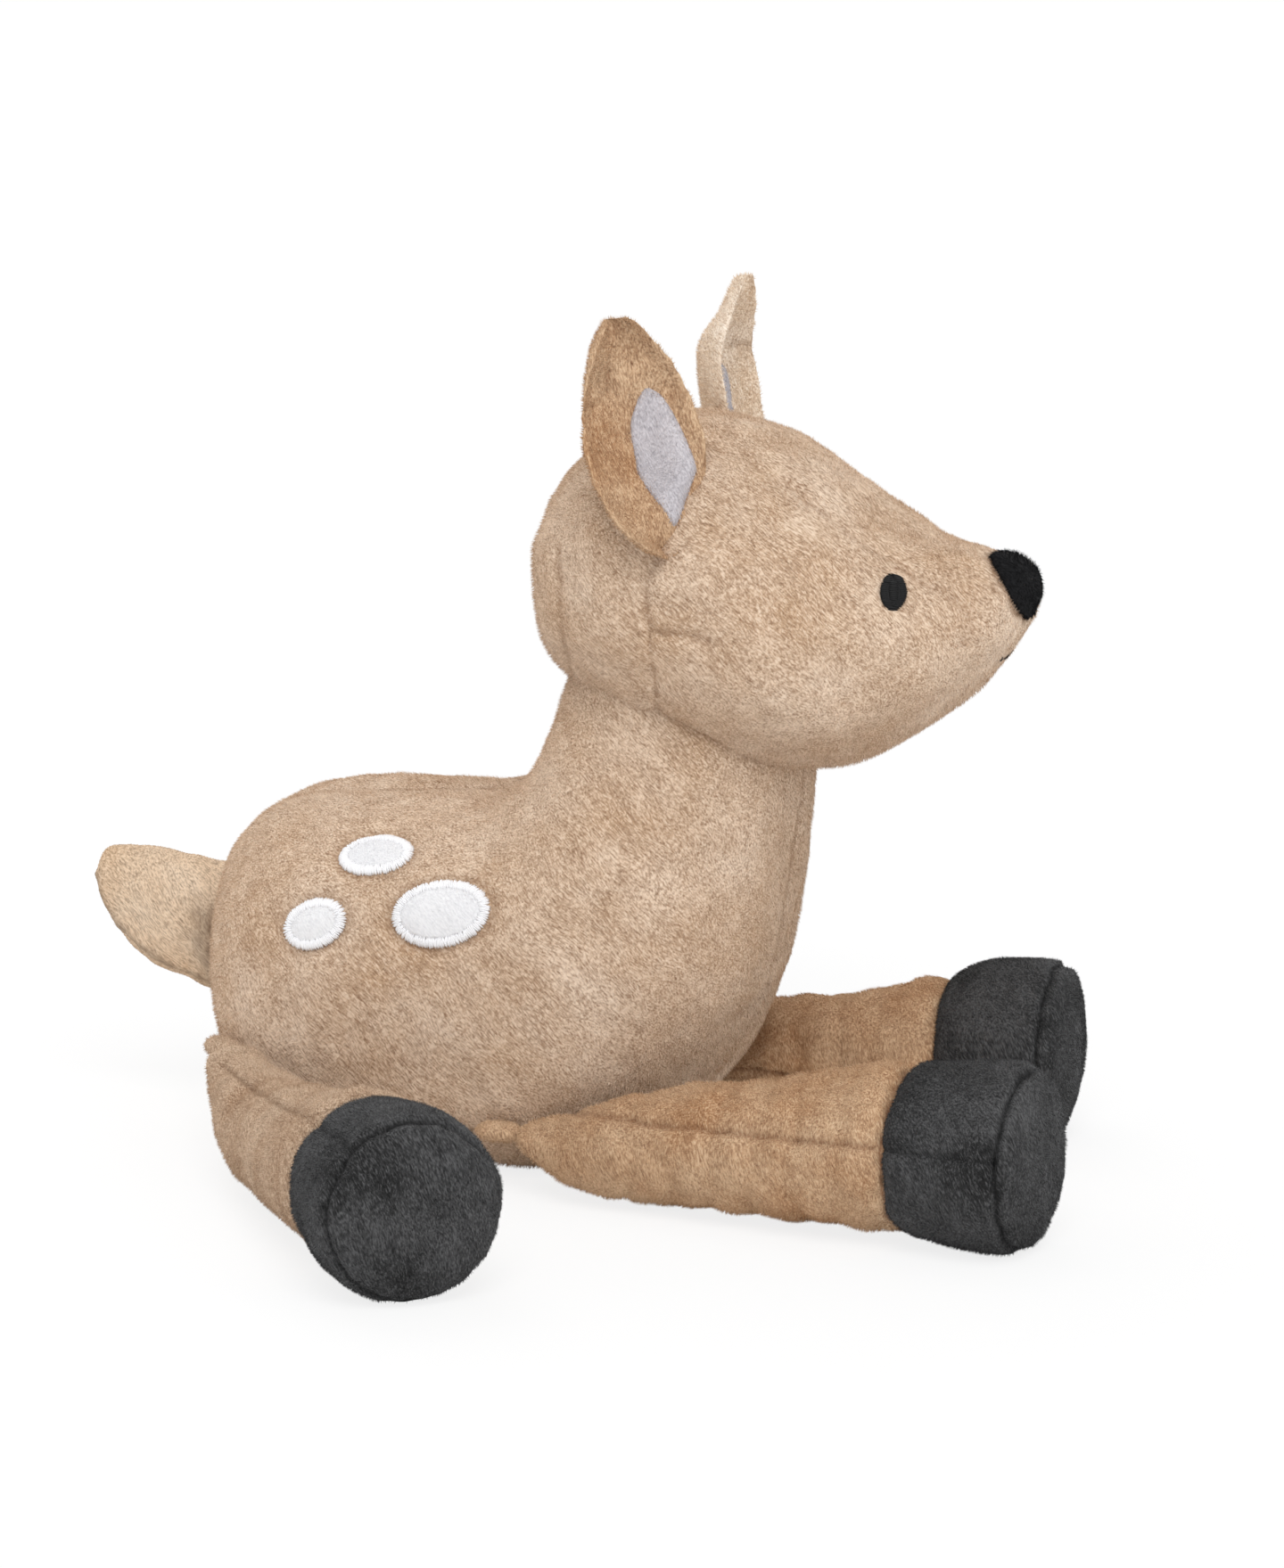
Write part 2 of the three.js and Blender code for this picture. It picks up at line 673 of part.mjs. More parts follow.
const root = new THREE.Group();
root.add(
  mesh("body_filling", bodyFilling.subtract(headSpace), colours.fibre),
  mesh("body_cover_right", bodyCloth.intersect(rightOf(-seamGap / 2)).intersect(above(baseSeamHeight)), colours.tan),
  mesh("body_cover_left", bodyCloth.intersect(leftOf(seamGap / 2)).intersect(above(baseSeamHeight)), colours.tan),
  mesh("body_base", bodyCloth.subtract(above(baseSeamHeight - seamGap)), colours.tan),
  mesh("head_filling", headFilling, colours.fibre),
  mesh("head_cover_right", headSides.intersect(rightOf(-seamGap / 2)), colours.tan),
  mesh("head_cover_left", headSides.intersect(leftOf(seamGap / 2)), colours.tan),
  mesh("head_crown_gusset", crownGusset, colours.tan),
  mesh("nose_panel", nosePanel, colours.black),
  mesh("mouth_stitch", mouth, colours.black),
  mesh("tail", tail, colours.tan),
  ...legMeshes,
);
for (const side of ["right", "left"]) {
  const sided = (solid) => (side === "right" ? geometryOf(solid) : mirrored(geometryOf(solid)));
  const ears = side === "right" ? rightEar : leftEar;
  root.add(
    mesh(`eye_${side}`, sided(rightEye), colours.black),
    mesh(`ear_${side}`, sided(ears.ear), colours.tan),
    mesh(`ear_lining_${side}`, sided(ears.lining), colours.white),
  );
  rightSpots.forEach(({ patch, satin }, i) => {
    root.add(
      mesh(`spot_patch_${i + 1}_${side}`, sided(patch), colours.white),
      mesh(`spot_satin_${i + 1}_${side}`, sided(satin), colours.white),
    );
  });
}

export default root;
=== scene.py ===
"""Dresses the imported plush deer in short-pile cloth, embroidery and seams, and lights it like a studio shot."""
from __future__ import annotations

import logging
import math
from dataclasses import dataclass
from enum import Enum
from typing import Callable, Iterable, Sequence

import bmesh
import bpy
import numpy as np
from mathutils import Matrix, Vector
from mathutils.bvhtree import BVHTree

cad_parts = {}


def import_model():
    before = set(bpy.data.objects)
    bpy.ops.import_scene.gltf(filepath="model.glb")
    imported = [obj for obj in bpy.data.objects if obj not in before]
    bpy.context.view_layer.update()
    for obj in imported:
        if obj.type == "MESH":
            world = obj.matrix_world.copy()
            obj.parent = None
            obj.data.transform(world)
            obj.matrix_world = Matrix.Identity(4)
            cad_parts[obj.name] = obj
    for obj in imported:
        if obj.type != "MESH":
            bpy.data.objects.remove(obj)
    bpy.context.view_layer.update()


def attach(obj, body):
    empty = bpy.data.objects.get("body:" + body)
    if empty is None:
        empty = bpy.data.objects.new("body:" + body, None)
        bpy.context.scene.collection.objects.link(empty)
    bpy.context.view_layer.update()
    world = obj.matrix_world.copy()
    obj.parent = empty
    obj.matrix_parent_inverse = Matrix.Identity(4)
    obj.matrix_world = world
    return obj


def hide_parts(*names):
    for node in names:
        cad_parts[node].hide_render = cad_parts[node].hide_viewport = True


LOG = logging.getLogger("deer")
MM = 0.001
FAR = 1e3  # A distance beyond any seam, in millimetres.
WAVES = 14  # How many plane waves make up the lumps of a cloth.
NEAR_WALL, NEAR_SKIN = 0.04, 0.012  # How far a point looks for a neighbour, and for the skin it is drawn to, in metres.
Array = np.ndarray
Distance = Callable[[Array], Array]
Piece = bpy.types.Object
Tree = bpy.types.NodeTree
Socket = bpy.types.NodeSocket


# Numbers and surfaces, all in millimetres


def linear(code: str) -> tuple[float, float, float, float]:
    """Turns an sRGB hex colour into linear light.

    Args:
        code: Six hex digits.

    Returns:
        The linear colour with an alpha of 1.
    """
    parts = [int(code[i : i + 2], 16) / 255 for i in (0, 2, 4)]
    return (*[c / 12.92 if c <= 0.04045 else ((c + 0.055) / 1.055) ** 2.4 for c in parts], 1.0)


def waves(points: Array, size: float, seed: int) -> Array:
    """Sums plane waves into smooth lumps of one size.

    Args:
        points: Places, one row each.
        size: Rough distance between two lumps.
        seed: Picks the directions.

    Returns:
        One value for each place, about -1 to 1.
    """
    rng = np.random.default_rng(seed)
    total = np.zeros(len(points))
    for _ in range(WAVES):
        way = rng.normal(size=3)
        way *= 2 * math.pi / (np.linalg.norm(way) * size * rng.uniform(0.8, 1.6))
        total += np.sin(points @ way + rng.uniform(0, 2 * math.pi))
    return total / math.sqrt(WAVES)


def spline(values: Array, knots: Array, at: Array) -> Array:
    """Runs a smooth curve through rows of values.

    Args:
        values: One row for each knot.
        knots: Rising places of the rows.
        at: Places to read.

    Returns:
        One row for each place read.
    """
    slopes = np.gradient(values, knots, axis=0)
    index = np.clip(np.searchsorted(knots, at, side="right") - 1, 0, len(knots) - 2)
    span = (knots[index + 1] - knots[index])[:, None]
    t = ((at - knots[index])[:, None]) / span
    low, high = values[index], values[index + 1]
    rise, fall = slopes[index] * span, slopes[index + 1] * span
    return (
        (2 * t**3 - 3 * t**2 + 1) * low
        + (t**3 - 2 * t**2 + t) * rise
        + (-2 * t**3 + 3 * t**2) * high
        + (t**3 - t**2) * fall
    )


@dataclass
class Skin:
    """A closed surface: rings of points between two poles, in millimetres."""

    rings: Array
    first: Array
    last: Array

    def points(self) -> Array:
        """Returns every point, the poles last."""
        return np.vstack([self.rings.reshape(-1, 3), self.first, self.last])

    def faces(self) -> list[tuple[int, ...]]:
        """Returns the quads between the rings and the fans at the poles, facing out."""
        count, sides = self.rings.shape[:2]
        ring, side = np.meshgrid(np.arange(count - 1), np.arange(sides), indexing="ij")
        here, there = ring * sides + side, ring * sides + (side + 1) % sides
        quads = np.stack([here, there, there + sides, here + sides], -1).reshape(-1, 4)
        pole, end = count * sides, (count - 1) * sides
        fans = [(pole, (s + 1) % sides, s) for s in range(sides)]
        fans += [(pole + 1, end + s, end + (s + 1) % sides) for s in range(sides)]
        return [tuple(q) for q in quads.tolist()] + fans

    def moved(self, change: Callable[[Array], Array]) -> "Skin":
        """Returns a copy whose points went through a function of places."""
        return Skin(
            change(self.rings.reshape(-1, 3)).reshape(self.rings.shape), change(self.first[None])[0],
            change(self.last[None])[0],
        )


def loft(
    table: Sequence[Sequence[float]], first: Sequence[float], last: Sequence[float], rings: int, sides: int
) -> Skin:
    """Runs a smooth closed surface through sections that stand on two rails in the XZ plane.

    Args:
        table: Rows of top x, top z, bottom x, bottom z, half width, upper squareness and lower squareness.
        first: The x and z of the pole before the first section.
        last: The x and z of the pole after the last one.
        rings: How many rings are made.
        sides: How many points each ring has.

    Returns:
        The surface.
    """
    rows = [(first[0], first[1], first[0], first[1], 0, *table[0][5:])]
    rows += [tuple(row) for row in table]
    rows += [(last[0], last[1], last[0], last[1], 0, *table[-1][5:])]
    values = np.array(rows, float)
    steps = np.linalg.norm(np.diff(values[:, :5], axis=0), axis=1)
    knots = np.concatenate([[0], np.cumsum(steps)])
    read = spline(values, knots, np.linspace(0, knots[-1], rings + 2)[1:-1])
    turn = 2 * math.pi * np.arange(sides) / sides
    up, out = np.cos(turn)[None], np.sin(turn)[None]
    power = 2 / np.where(up < 0, read[:, 6:7], read[:, 5:6])
    rise, wide = np.sign(up) * np.abs(up) ** power, np.sign(out) * np.abs(out) ** power
    made = np.empty((rings, sides, 3))
    for axis, (top, bottom) in ((0, (0, 2)), (2, (1, 3))):
        middle, half = (read[:, top] + read[:, bottom]) / 2, (read[:, top] - read[:, bottom]) / 2
        made[:, :, axis] = middle[:, None] + half[:, None] * rise
    made[:, :, 1] = -np.maximum(read[:, 4], 0)[:, None] * wide
    return Skin(made, np.array([first[0], 0, first[1]], float), np.array([last[0], 0, last[1]], float))


def mesh_object(name: str, points: Array, faces: Iterable[tuple[int, ...]]) -> Piece:
    """Makes a smooth mesh object at the origin.

    Args:
        name: The object's name.
        points: Places in millimetres.
        faces: Corner numbers of each face.

    Returns:
        The linked object.
    """
    data = bpy.data.meshes.new(name)
    data.from_pydata((points * MM).tolist(), [], list(faces))
    data.update()
    data.polygons.foreach_set("use_smooth", [True] * len(data.polygons))
    made = bpy.data.objects.new(name, data)
    bpy.context.scene.collection.objects.link(made)
    return made


def read_points(piece: Piece) -> tuple[Array, Array]:
    """Reads a mesh's places and outward directions.

    Args:
        piece: A mesh object without live modifiers.

    Returns:
        Places in millimetres and unit normals.
    """
    data = piece.data
    places = np.empty(len(data.vertices) * 3)
    normals = np.empty(len(data.vertices) * 3)
    data.vertices.foreach_get("co", places)
    data.vertex_normals.foreach_get("vector", normals)
    return places.reshape(-1, 3) / MM, normals.reshape(-1, 3)


def write_points(piece: Piece, places: Array) -> None:
    """Moves a mesh's points to new places in millimetres."""
    piece.data.vertices.foreach_set("co", (places * MM).ravel())
    piece.data.update()


def baked(piece: Piece) -> None:
    """Replaces a mesh by what its modifiers make of it, and drops the modifiers."""
    graph = bpy.context.evaluated_depsgraph_get()
    graph.update()
    fresh = bpy.data.meshes.new_from_object(piece.evaluated_get(graph), depsgraph=graph)
    piece.modifiers.clear()
    old, piece.data = piece.data, fresh
    bpy.data.meshes.remove(old)


def thickened(piece: Piece, thickness: float) -> None:
    """Gives an open sheet a wall behind it, some millimetres thick."""
    wall = piece.modifiers.new("wall", "SOLIDIFY")
    wall.thickness, wall.offset = thickness * MM, -1
    baked(piece)


def tree_of(piece: Piece) -> BVHTree:
    """Returns a search tree of a mesh, in metres."""
    grid = bmesh.new()
    grid.from_mesh(piece.data)
    tree = BVHTree.FromBMesh(grid)
    grid.free()
    return tree


def worn(piece: Piece, finish: Finish, body: str, slot: str, *nodes: str) -> None:
    """Gives a piece its only material and its body, and hides the CAD nodes it stands for.

    Args:
        piece: The object.
        finish: Its surface.
        body: The moving body it rides on.
        slot: Its material slot, not used.
        *nodes: The nodes of the CAD that it stands for.
    """
    piece.data.materials.clear()
    piece.data.materials.append(finish.material())
    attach(piece, body)
    if nodes:
        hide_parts(*nodes)


def pushed_out(points: Array, wall: BVHTree, gap: float) -> Array:
    """Moves the points that lie inside a closed surface, or too near it, out to its skin.

    Args:
        points: Places in millimetres.
        wall: The surface's search tree.
        gap: The least distance to keep, or a depth to allow if negative.

    Returns:
        The new places.
    """
    out = points.copy()
    for i, place in enumerate(points):
        near, normal, _, _ = wall.find_nearest(Vector(place * MM), NEAR_WALL)
        if near is not None:
            depth = (np.array(near) / MM - place) @ np.array(normal)
            if depth > -gap:
                out[i] = np.array(near) / MM + np.array(normal) * gap
    return out


def drawn_to(points: Array, wall: BVHTree, deep: float, shares: Array) -> Array:
    """Draws points towards a place just under a surface.

    Args:
        points: Places in millimetres.
        wall: The surface's search tree.
        deep: How far under the surface they are drawn.
        shares: How much of the way each point goes.

    Returns:
        The new places.
    """
    out = points.copy()
    for i in np.flatnonzero(shares > 0.03):
        near, normal, _, _ = wall.find_nearest(Vector(points[i] * MM), NEAR_SKIN)
        if near is not None:
            under = np.array(near) / MM - np.array(normal) * deep
            out[i] += shares[i] * (under - points[i])
    return out


# Finishes


def add(tree: Tree, kind: str, settings: dict[str, object] | None = None, **inputs: object) -> bpy.types.Node:
    """Adds a node with its settings and links.

    Args:
        tree: The tree that gets the node.
        kind: The node's type name.
        settings: Attributes to set on it.
        **inputs: Socket names with underscores for blanks, or i and a number, each with a value or an output.

    Returns:
        The node.
    """
    node = tree.nodes.new(kind)
    for key, value in (settings or {}).items():
        setattr(node, key, value)
    for key, value in inputs.items():
        numbered = key[0] == "i" and key[1:].isdigit()
        socket = node.inputs[int(key[1:]) if numbered else key.replace("_", " ")]
        if isinstance(value, Socket):
            tree.links.new(value, socket)
        else:
            socket.default_value = value
    return node


def noise(tree: Tree, where: Socket, size: float, **inputs: object) -> bpy.types.Node:
    """Adds a noise texture.

    Args:
        tree: The tree that gets the node.
        where: The places it reads.
        size: Width of its lumps in millimetres.
        **inputs: Further inputs by name.

    Returns:
        The node.
    """
    return add(tree, "ShaderNodeTexNoise", Vector=where, Scale=1 / (size * MM), **inputs)


def calc(tree: Tree, operation: str, *values: object, vector: bool = False, **inputs: object) -> Socket:
    """Adds one step of arithmetic.

    Args:
        tree: The tree that gets the node.
        operation: What the step does.
        *values: Numbers or outputs, in the order of the node's inputs.
        vector: Whether it works on vectors.
        **inputs: Further inputs by name.

    Returns:
        The result.
    """
    kind = "ShaderNodeVectorMath" if vector else "ShaderNodeMath"
    numbered = {f"i{number}": value for number, value in enumerate(values)}
    return add(tree, kind, {"operation": operation}, **numbered, **inputs).outputs[0]


def ramp(tree: Tree, value: Socket, low: float, high: float, start: float = 0.0, end: float = 1.0) -> Socket:
    """Adds a ramp that runs from start to end while its value runs from low to high.

    Args:
        tree: The tree that gets the node.
        value: The output it reads.
        low: The value at the start.
        high: The value at the end.
        start: What the ramp gives at the start.
        end: What it gives at the end.

    Returns:
        The result.
    """
    return add(tree, "ShaderNodeMapRange", Value=value, i1=low, i2=high, i3=start, i4=end).outputs[0]


def mixed(tree: Tree, share: object, low: object, high: object) -> Socket:
    """Adds a mix of two colours.

    Args:
        tree: The tree that gets the node.
        share: How much of the second colour shows.
        low: The first colour, or an output.
        high: The second colour, or an output.

    Returns:
        The mixed colour.
    """
    return add(tree, "ShaderNodeMix", {"data_type": "RGBA"}, i0=share, i6=low, i7=high).outputs[2]


def looked_at(tree: Tree) -> Socket:
    """Returns 1 for the rays that show a surface itself: straight, mirrored or through glass."""
    path = add(tree, "ShaderNodeLightPath")
    seen = calc(tree, "MAXIMUM", path.outputs["Is Camera Ray"], path.outputs["Is Glossy Ray"])
    return calc(tree, "MAXIMUM", seen, path.outputs["Is Transmission Ray"])


@dataclass(frozen=True)
class Finish:
    """A surface, whose material is made once."""

    name: str
    colour: str

    def material(self) -> bpy.types.Material:
        """Returns the material."""
        made = bpy.data.materials.get(self.name)
        if made is None:
            made = bpy.data.materials.new(self.name)
            made.use_nodes = True
            made.node_tree.nodes.clear()
            add(made.node_tree, "ShaderNodeOutputMaterial", Surface=self.shader(made.node_tree))
        return made

    def shader(self, tree: Tree) -> Socket:
        """Adds the surface's own nodes and returns their end."""
        raise NotImplementedError


@dataclass(frozen=True)
class Plush(Finish):
    """Short-pile knitted polyester: velvety, matt, lighter where the pile turns its side to the eye."""

    # deep is the colour of the painted shade and light that of the painted light, which also tints the sheen; contrast
    # sets how far the strokes go towards them.
    deep: str
    light: str
    stroke: float = 0.4
    sheen: float = 0.4
    relief: float = 0.5
    contrast: float = 0.72
    nap: float = 0.75

    # Millimetres: the brushed patches, the swirls in the strokes and how far these shift them, the strokes' relief.
    PATCH = 24
    SWIRL = 22
    SHIFT = 5
    RELIEF = 0.5
    # A stroke's length over its width, a tuft's size over a stroke's and how much it counts beside it.
    STROKE_LENGTH = 3.6
    TUFT_SIZE = 6
    TUFT_SHARE = 0.25
    # How much of the deep colour is painted along a seam as shade, where the pile parts.
    GROUND = 0.8

    def shader(self, tree: Tree) -> Socket:
        """Adds combed strokes of pile over broad brushed patches, with painted shade between the strokes and along the
        seams and a painted highlight on the strokes' crests, and returns their end.
        """
        where = add(tree, "ShaderNodeTexCoord").outputs["Object"]
        light, deep = linear(self.light), linear(self.deep)
        # Hands brush the pile into patches, which catch the light differently.
        patch = noise(tree, where, self.PATCH, Detail=3.0, Roughness=0.55)
        # The strokes swirl: a slow noise shifts their pattern.
        slow = noise(tree, where, self.SWIRL, Detail=1.0)
        swirl = calc(tree, "MULTIPLY_ADD", slow.outputs["Color"], (self.SHIFT * MM,) * 3, where, vector=True)
        combed = add(
            tree, "ShaderNodeMapping", {"vector_type": "TEXTURE"}, Vector=swirl, Rotation=(0.0, self.nap, 0.0),
            Scale=(self.STROKE_LENGTH, 1.0, 1.0),
        ).outputs[0]
        # A stroke is a few fibres that lie together.
        stroke = noise(tree, combed, self.stroke, Detail=2.0, Roughness=0.55)
        tuft = noise(tree, combed, self.stroke * self.TUFT_SIZE, Detail=2.0)
        both = calc(tree, "MULTIPLY_ADD", tuft.outputs["Fac"], self.TUFT_SHARE, stroke.outputs["Fac"])
        base = mixed(tree, ramp(tree, patch.outputs["Fac"], 0.3, 0.75), linear(self.colour), light)
        # Painted shade darkens the low places between the strokes, and a painted highlight lightens their crests.
        gaps = mixed(tree, ramp(tree, both, 0.4, 0.72, self.contrast, 0.0), base, deep)
        tips = mixed(tree, ramp(tree, both, 0.64, 0.85, 0.0, self.contrast), gaps, light)
        # Along a seam the pile parts, and shade is painted there in the deep colour.
        seam = add(tree, "ShaderNodeAttribute", {"attribute_name": "seam"})
        ground = mixed(tree, calc(tree, "MULTIPLY", seam.outputs["Fac"], self.GROUND), tips, deep)
        bump = add(tree, "ShaderNodeBump", Strength=self.relief, Distance=self.RELIEF * MM, Height=both)
        return add(
            tree, "ShaderNodeBsdfPrincipled", Base_Color=ground, Roughness=0.92, Sheen_Weight=self.sheen,
            Sheen_Roughness=0.45, Sheen_Tint=light, Specular_IOR_Level=0.15, Normal=bump.outputs[0],
        ).outputs[0]


@dataclass(frozen=True)
class Thread(Finish):
    """Polyester embroidery thread: twisted, smooth and slightly glossy."""

    roughness: float = 0.5
    sheen: float = 0.15

    # Filaments are far finer than a pixel, so they are drawn wider, in millimetres, to show at all.
    FIBRE = 0.25
    RELIEF = 0.1

    def shader(self, tree: Tree) -> Socket:
        """Adds the thread with its fine twist as relief, and returns its end."""
        where = add(tree, "ShaderNodeTexCoord").outputs["Object"]
        fibre = noise(tree, where, self.FIBRE, Detail=2.0)
        bump = add(tree, "ShaderNodeBump", Strength=0.3, Distance=self.RELIEF * MM, Height=fibre.outputs["Fac"])
        return add(
            tree, "ShaderNodeBsdfPrincipled", Base_Color=linear(self.colour), Roughness=self.roughness,
            Sheen_Weight=self.sheen, Specular_IOR_Level=0.3, Normal=bump.outputs[0],
        ).outputs[0]


@dataclass(frozen=True)
class Paper(Finish):
    """White studio paper that glows to whoever looks at it, so that only the shadow shows."""

    glow: float = 0.82

    def shader(self, tree: Tree) -> Socket:
        """Adds the paper under its glow, and returns the end."""
        paper = add(
            tree, "ShaderNodeBsdfPrincipled", Base_Color=linear(self.colour), Roughness=0.95, Specular_IOR_Level=0.0
        )
        share = calc(tree, "MULTIPLY", looked_at(tree), self.glow)
        glow = add(tree, "ShaderNodeEmission", Color=linear("ffffff"), Strength=1.0)
        return add(tree, "ShaderNodeMixShader", i0=share, i1=paper.outputs[0], i2=glow.outputs[0]).outputs[0]


TAN = Plush("short-pile plush, tan", "d1b395", "8b684c", "ecd8c3", contrast=0.82)
SLEEVE_TAN = Plush("short-pile plush, tan, brushed up", "c0966f", "7a5036", "dfc4a4", nap=1.25)
# The rear sleeves' tan, darker for painted shade.
SHADED_TAN = Plush("short-pile plush, tan, brushed across", "b99a7e", "755840", "ddc6ae", nap=1.25, contrast=0.8)
# The tail's tan: its deep colour is dark for the flank's shadow painted at the root.
LIFTED_TAN = Plush("short-pile plush, tan, brushed out", "d6b694", "4a3220", "ecd6bd", contrast=0.55)
# The far ear's tan, lighter for painted light falling on it.
PALE_TAN = Plush("short-pile plush, tan, brushed down", "ebd5bb", "a88562", "fbefe0")
GREY = Plush("short-pile plush, charcoal", "2c2c2c", "0b0b0b", "5f5f60", sheen=0.35, nap=1.1, contrast=0.8)
BLACK = Plush("short-pile plush, black", "0e0e0f", "030303", "202022", sheen=0.08)
LINING = Plush("short-pile plush, pale lilac", "bbb6ba", "88848a", "d8d4d8", sheen=0.2, contrast=0.5, nap=1.1)
WHITE = Plush(
    "brushed felt, white", "ebebed", "bdbdc2", "eeeeef", stroke=0.35, sheen=0.1, relief=0.2, contrast=0.4
)
WHITE_THREAD = Thread("embroidery thread, white", "f4f4f6")
BLACK_THREAD = Thread("embroidery thread, black", "09090a", 0.65, 0.0)
PAPER = Paper("studio paper, white", "fdfdfd")


# Sewing and pile


@dataclass
class Seam:
    """A sewn line that draws the cloth in, parts the pile and has shade painted along it."""

    distance: Distance
    depth: float
    width: float
    pucker: float = 0.25
    # parts sets how far the pile parts along the line and how dark the shade painted there is; spread is how wide both
    # reach.
    parts: float = 1.0
    spread: float = 0.8

    # Millimetres: how far the line strays, and the sizes of its strays, its tucks and the pile's gaps along it.
    STRAY, STRAY_SIZE = 0.3, 7
    TUCK_SIZE, GAP_SIZE = 4.2, 3
    # The hollow beside the line: how much wider it is, and its depth as a share of the seam's.
    HOLLOW_WIDTH, HOLLOW_DEPTH = 3.2, 0.45

    def press(self, places: Array, number: int, seed: int) -> tuple[Array, Array]:
        """Returns how far the seam draws each place in, and how far the pile parts there, which also sets the shade
        painted along it.

        Args:
            places: The cloth's points in millimetres.
            number: The seam's number on its piece.
            seed: Picks the strays and the tucks.
        """
        away = np.abs(self.distance(places) + self.STRAY * waves(places, self.STRAY_SIZE, seed + 31))
        near = np.exp(-((away / self.width) ** 2))
        wide = np.exp(-((away / (self.width * self.HOLLOW_WIDTH)) ** 2))
        tucks = waves(places, self.TUCK_SIZE, seed + 11 + number)
        drawn = self.depth * near + self.depth * self.HOLLOW_DEPTH * wide * (1 + 2 * self.pucker * tucks)
        gaps = 0.85 + 0.15 * waves(places, self.GAP_SIZE, seed + 32)
        return drawn, self.parts * np.exp(-((away / self.spread) ** 2)) * gaps


def sewn(piece: Piece, seams: Sequence[Seam], lumps: float, lump_size: float, seed: int) -> None:
    """Presses seams into a dense mesh and gives the cloth between them soft lumps.

    Args:
        piece: The mesh.
        seams: The seams to press in.
        lumps: Height of the lumps in millimetres.
        lump_size: Distance between two lumps.
        seed: Picks the lumps.
    """
    places, normals = read_points(piece)
    shift = lumps * waves(places, lump_size, seed) + 0.3 * lumps * waves(places, lump_size / 3, seed + 1)
    parted = np.zeros(len(places))
    for number, seam in enumerate(seams):
        drawn, open_share = seam.press(places, number, seed)
        shift -= drawn
        parted = np.maximum(parted, open_share)
    write_points(piece, places + normals * shift[:, None])
    # The pile reads how far it parts near a seam, and the material paints shade there from the same value.
    piece.data.attributes.new("seam", "FLOAT", "POINT").data.foreach_set("value", parted.astype(np.float32))


# How the cloth takes the filling: it is light and stiff, so it rounds without stretching.
CLOTH = {
    "use_pressure": True, "vertex_group_mass": "sewn", "pin_stiffness": 1.0, "quality": 6, "mass": 0.1,
    "tension_stiffness": 12, "compression_stiffness": 12, "bending_stiffness": 0.8,
}
FILLING_FRAMES = 14


def swell(piece: Piece, held: Array, pressure: float, cap: float) -> None:
    """Blows a coarse closed cloth up with filling, held where it is sewn, by a short cloth simulation.

    Args:
        piece: The coarse mesh.
        held: How firmly each point is held, 0 to 1.
        pressure: Push of the filling.
        cap: How far a point may move, in millimetres.
    """
    before, _ = read_points(piece)
    group = piece.vertex_groups.new(name="sewn")
    for i, weight in enumerate(held):
        group.add([i], float(weight), "REPLACE")
    cloth = piece.modifiers.new("filling", "CLOTH")
    for key, value in CLOTH.items():
        setattr(cloth.settings, key, value)
    cloth.settings.uniform_pressure_force = pressure
    cloth.settings.effector_weights.gravity = 0
    cloth.collision_settings.use_collision = False
    scene = bpy.context.scene
    for frame in range(1, FILLING_FRAMES + 1):
        scene.frame_set(frame)
    baked(piece)
    scene.frame_set(1)
    piece.vertex_groups.clear()
    after, _ = read_points(piece)
    way = after - before
    length = np.linalg.norm(way, axis=1)
    LOG.info("%s swelled by %.2f mm on average, %.2f mm at most", piece.name, length.mean(), length.max())
    write_points(piece, before + way * np.minimum(1, cap / np.maximum(length, 1e-9))[:, None])


def subdivided(piece: Piece, levels: int) -> None:
    """Rounds a coarse mesh with Subdivision Surface and applies it."""
    smooth = piece.modifiers.new("round", "SUBSURF")
    smooth.levels = smooth.render_levels = levels
    baked(piece)


def node_group(name: str, kinds: dict[str, str]) -> tuple[Tree, bpy.types.NodeOutputs]:
    """Makes a Geometry Nodes tree with its inputs.

    Args:
        name: The tree's name.
        kinds: The kind of each input by its name, the geometry first.

    Returns:
        The tree, and the outputs of the node that hands its inputs in.
    """
    tree = bpy.data.node_groups.new(name, "GeometryNodeTree")
    for label, kind in kinds.items():
        tree.interface.new_socket(label, in_out="INPUT", socket_type=f"NodeSocket{kind}")
    tree.interface.new_socket("Geometry", in_out="OUTPUT", socket_type="NodeSocketGeometry")
    return tree, tree.nodes.new("NodeGroupInput").outputs


def repeated(tree: Tree, material: Socket, **inputs: Socket) -> None:
    """Ends a tree: puts a form on each point and hands all of them out as one mesh.

    Args:
        tree: The tree.
        material: Their material.
        **inputs: The points, the instance, its rotation and its scale.
    """
    stood = add(tree, "GeometryNodeInstanceOnPoints", **inputs)
    real = add(tree, "GeometryNodeRealizeInstances", Geometry=stood.outputs[0])
    dyed = add(tree, "GeometryNodeSetMaterial", Geometry=real.outputs[0], Material=material)
    add(tree, "NodeGroupOutput", Geometry=dyed.outputs[0])


def varied(tree: Tree, seed: Socket, low: float, high: float) -> Socket:
    """Returns a random number between two others for each point."""
    return add(tree, "FunctionNodeRandomValue", {"data_type": "FLOAT"}, i2=low, i3=high, Seed=seed).outputs[1]


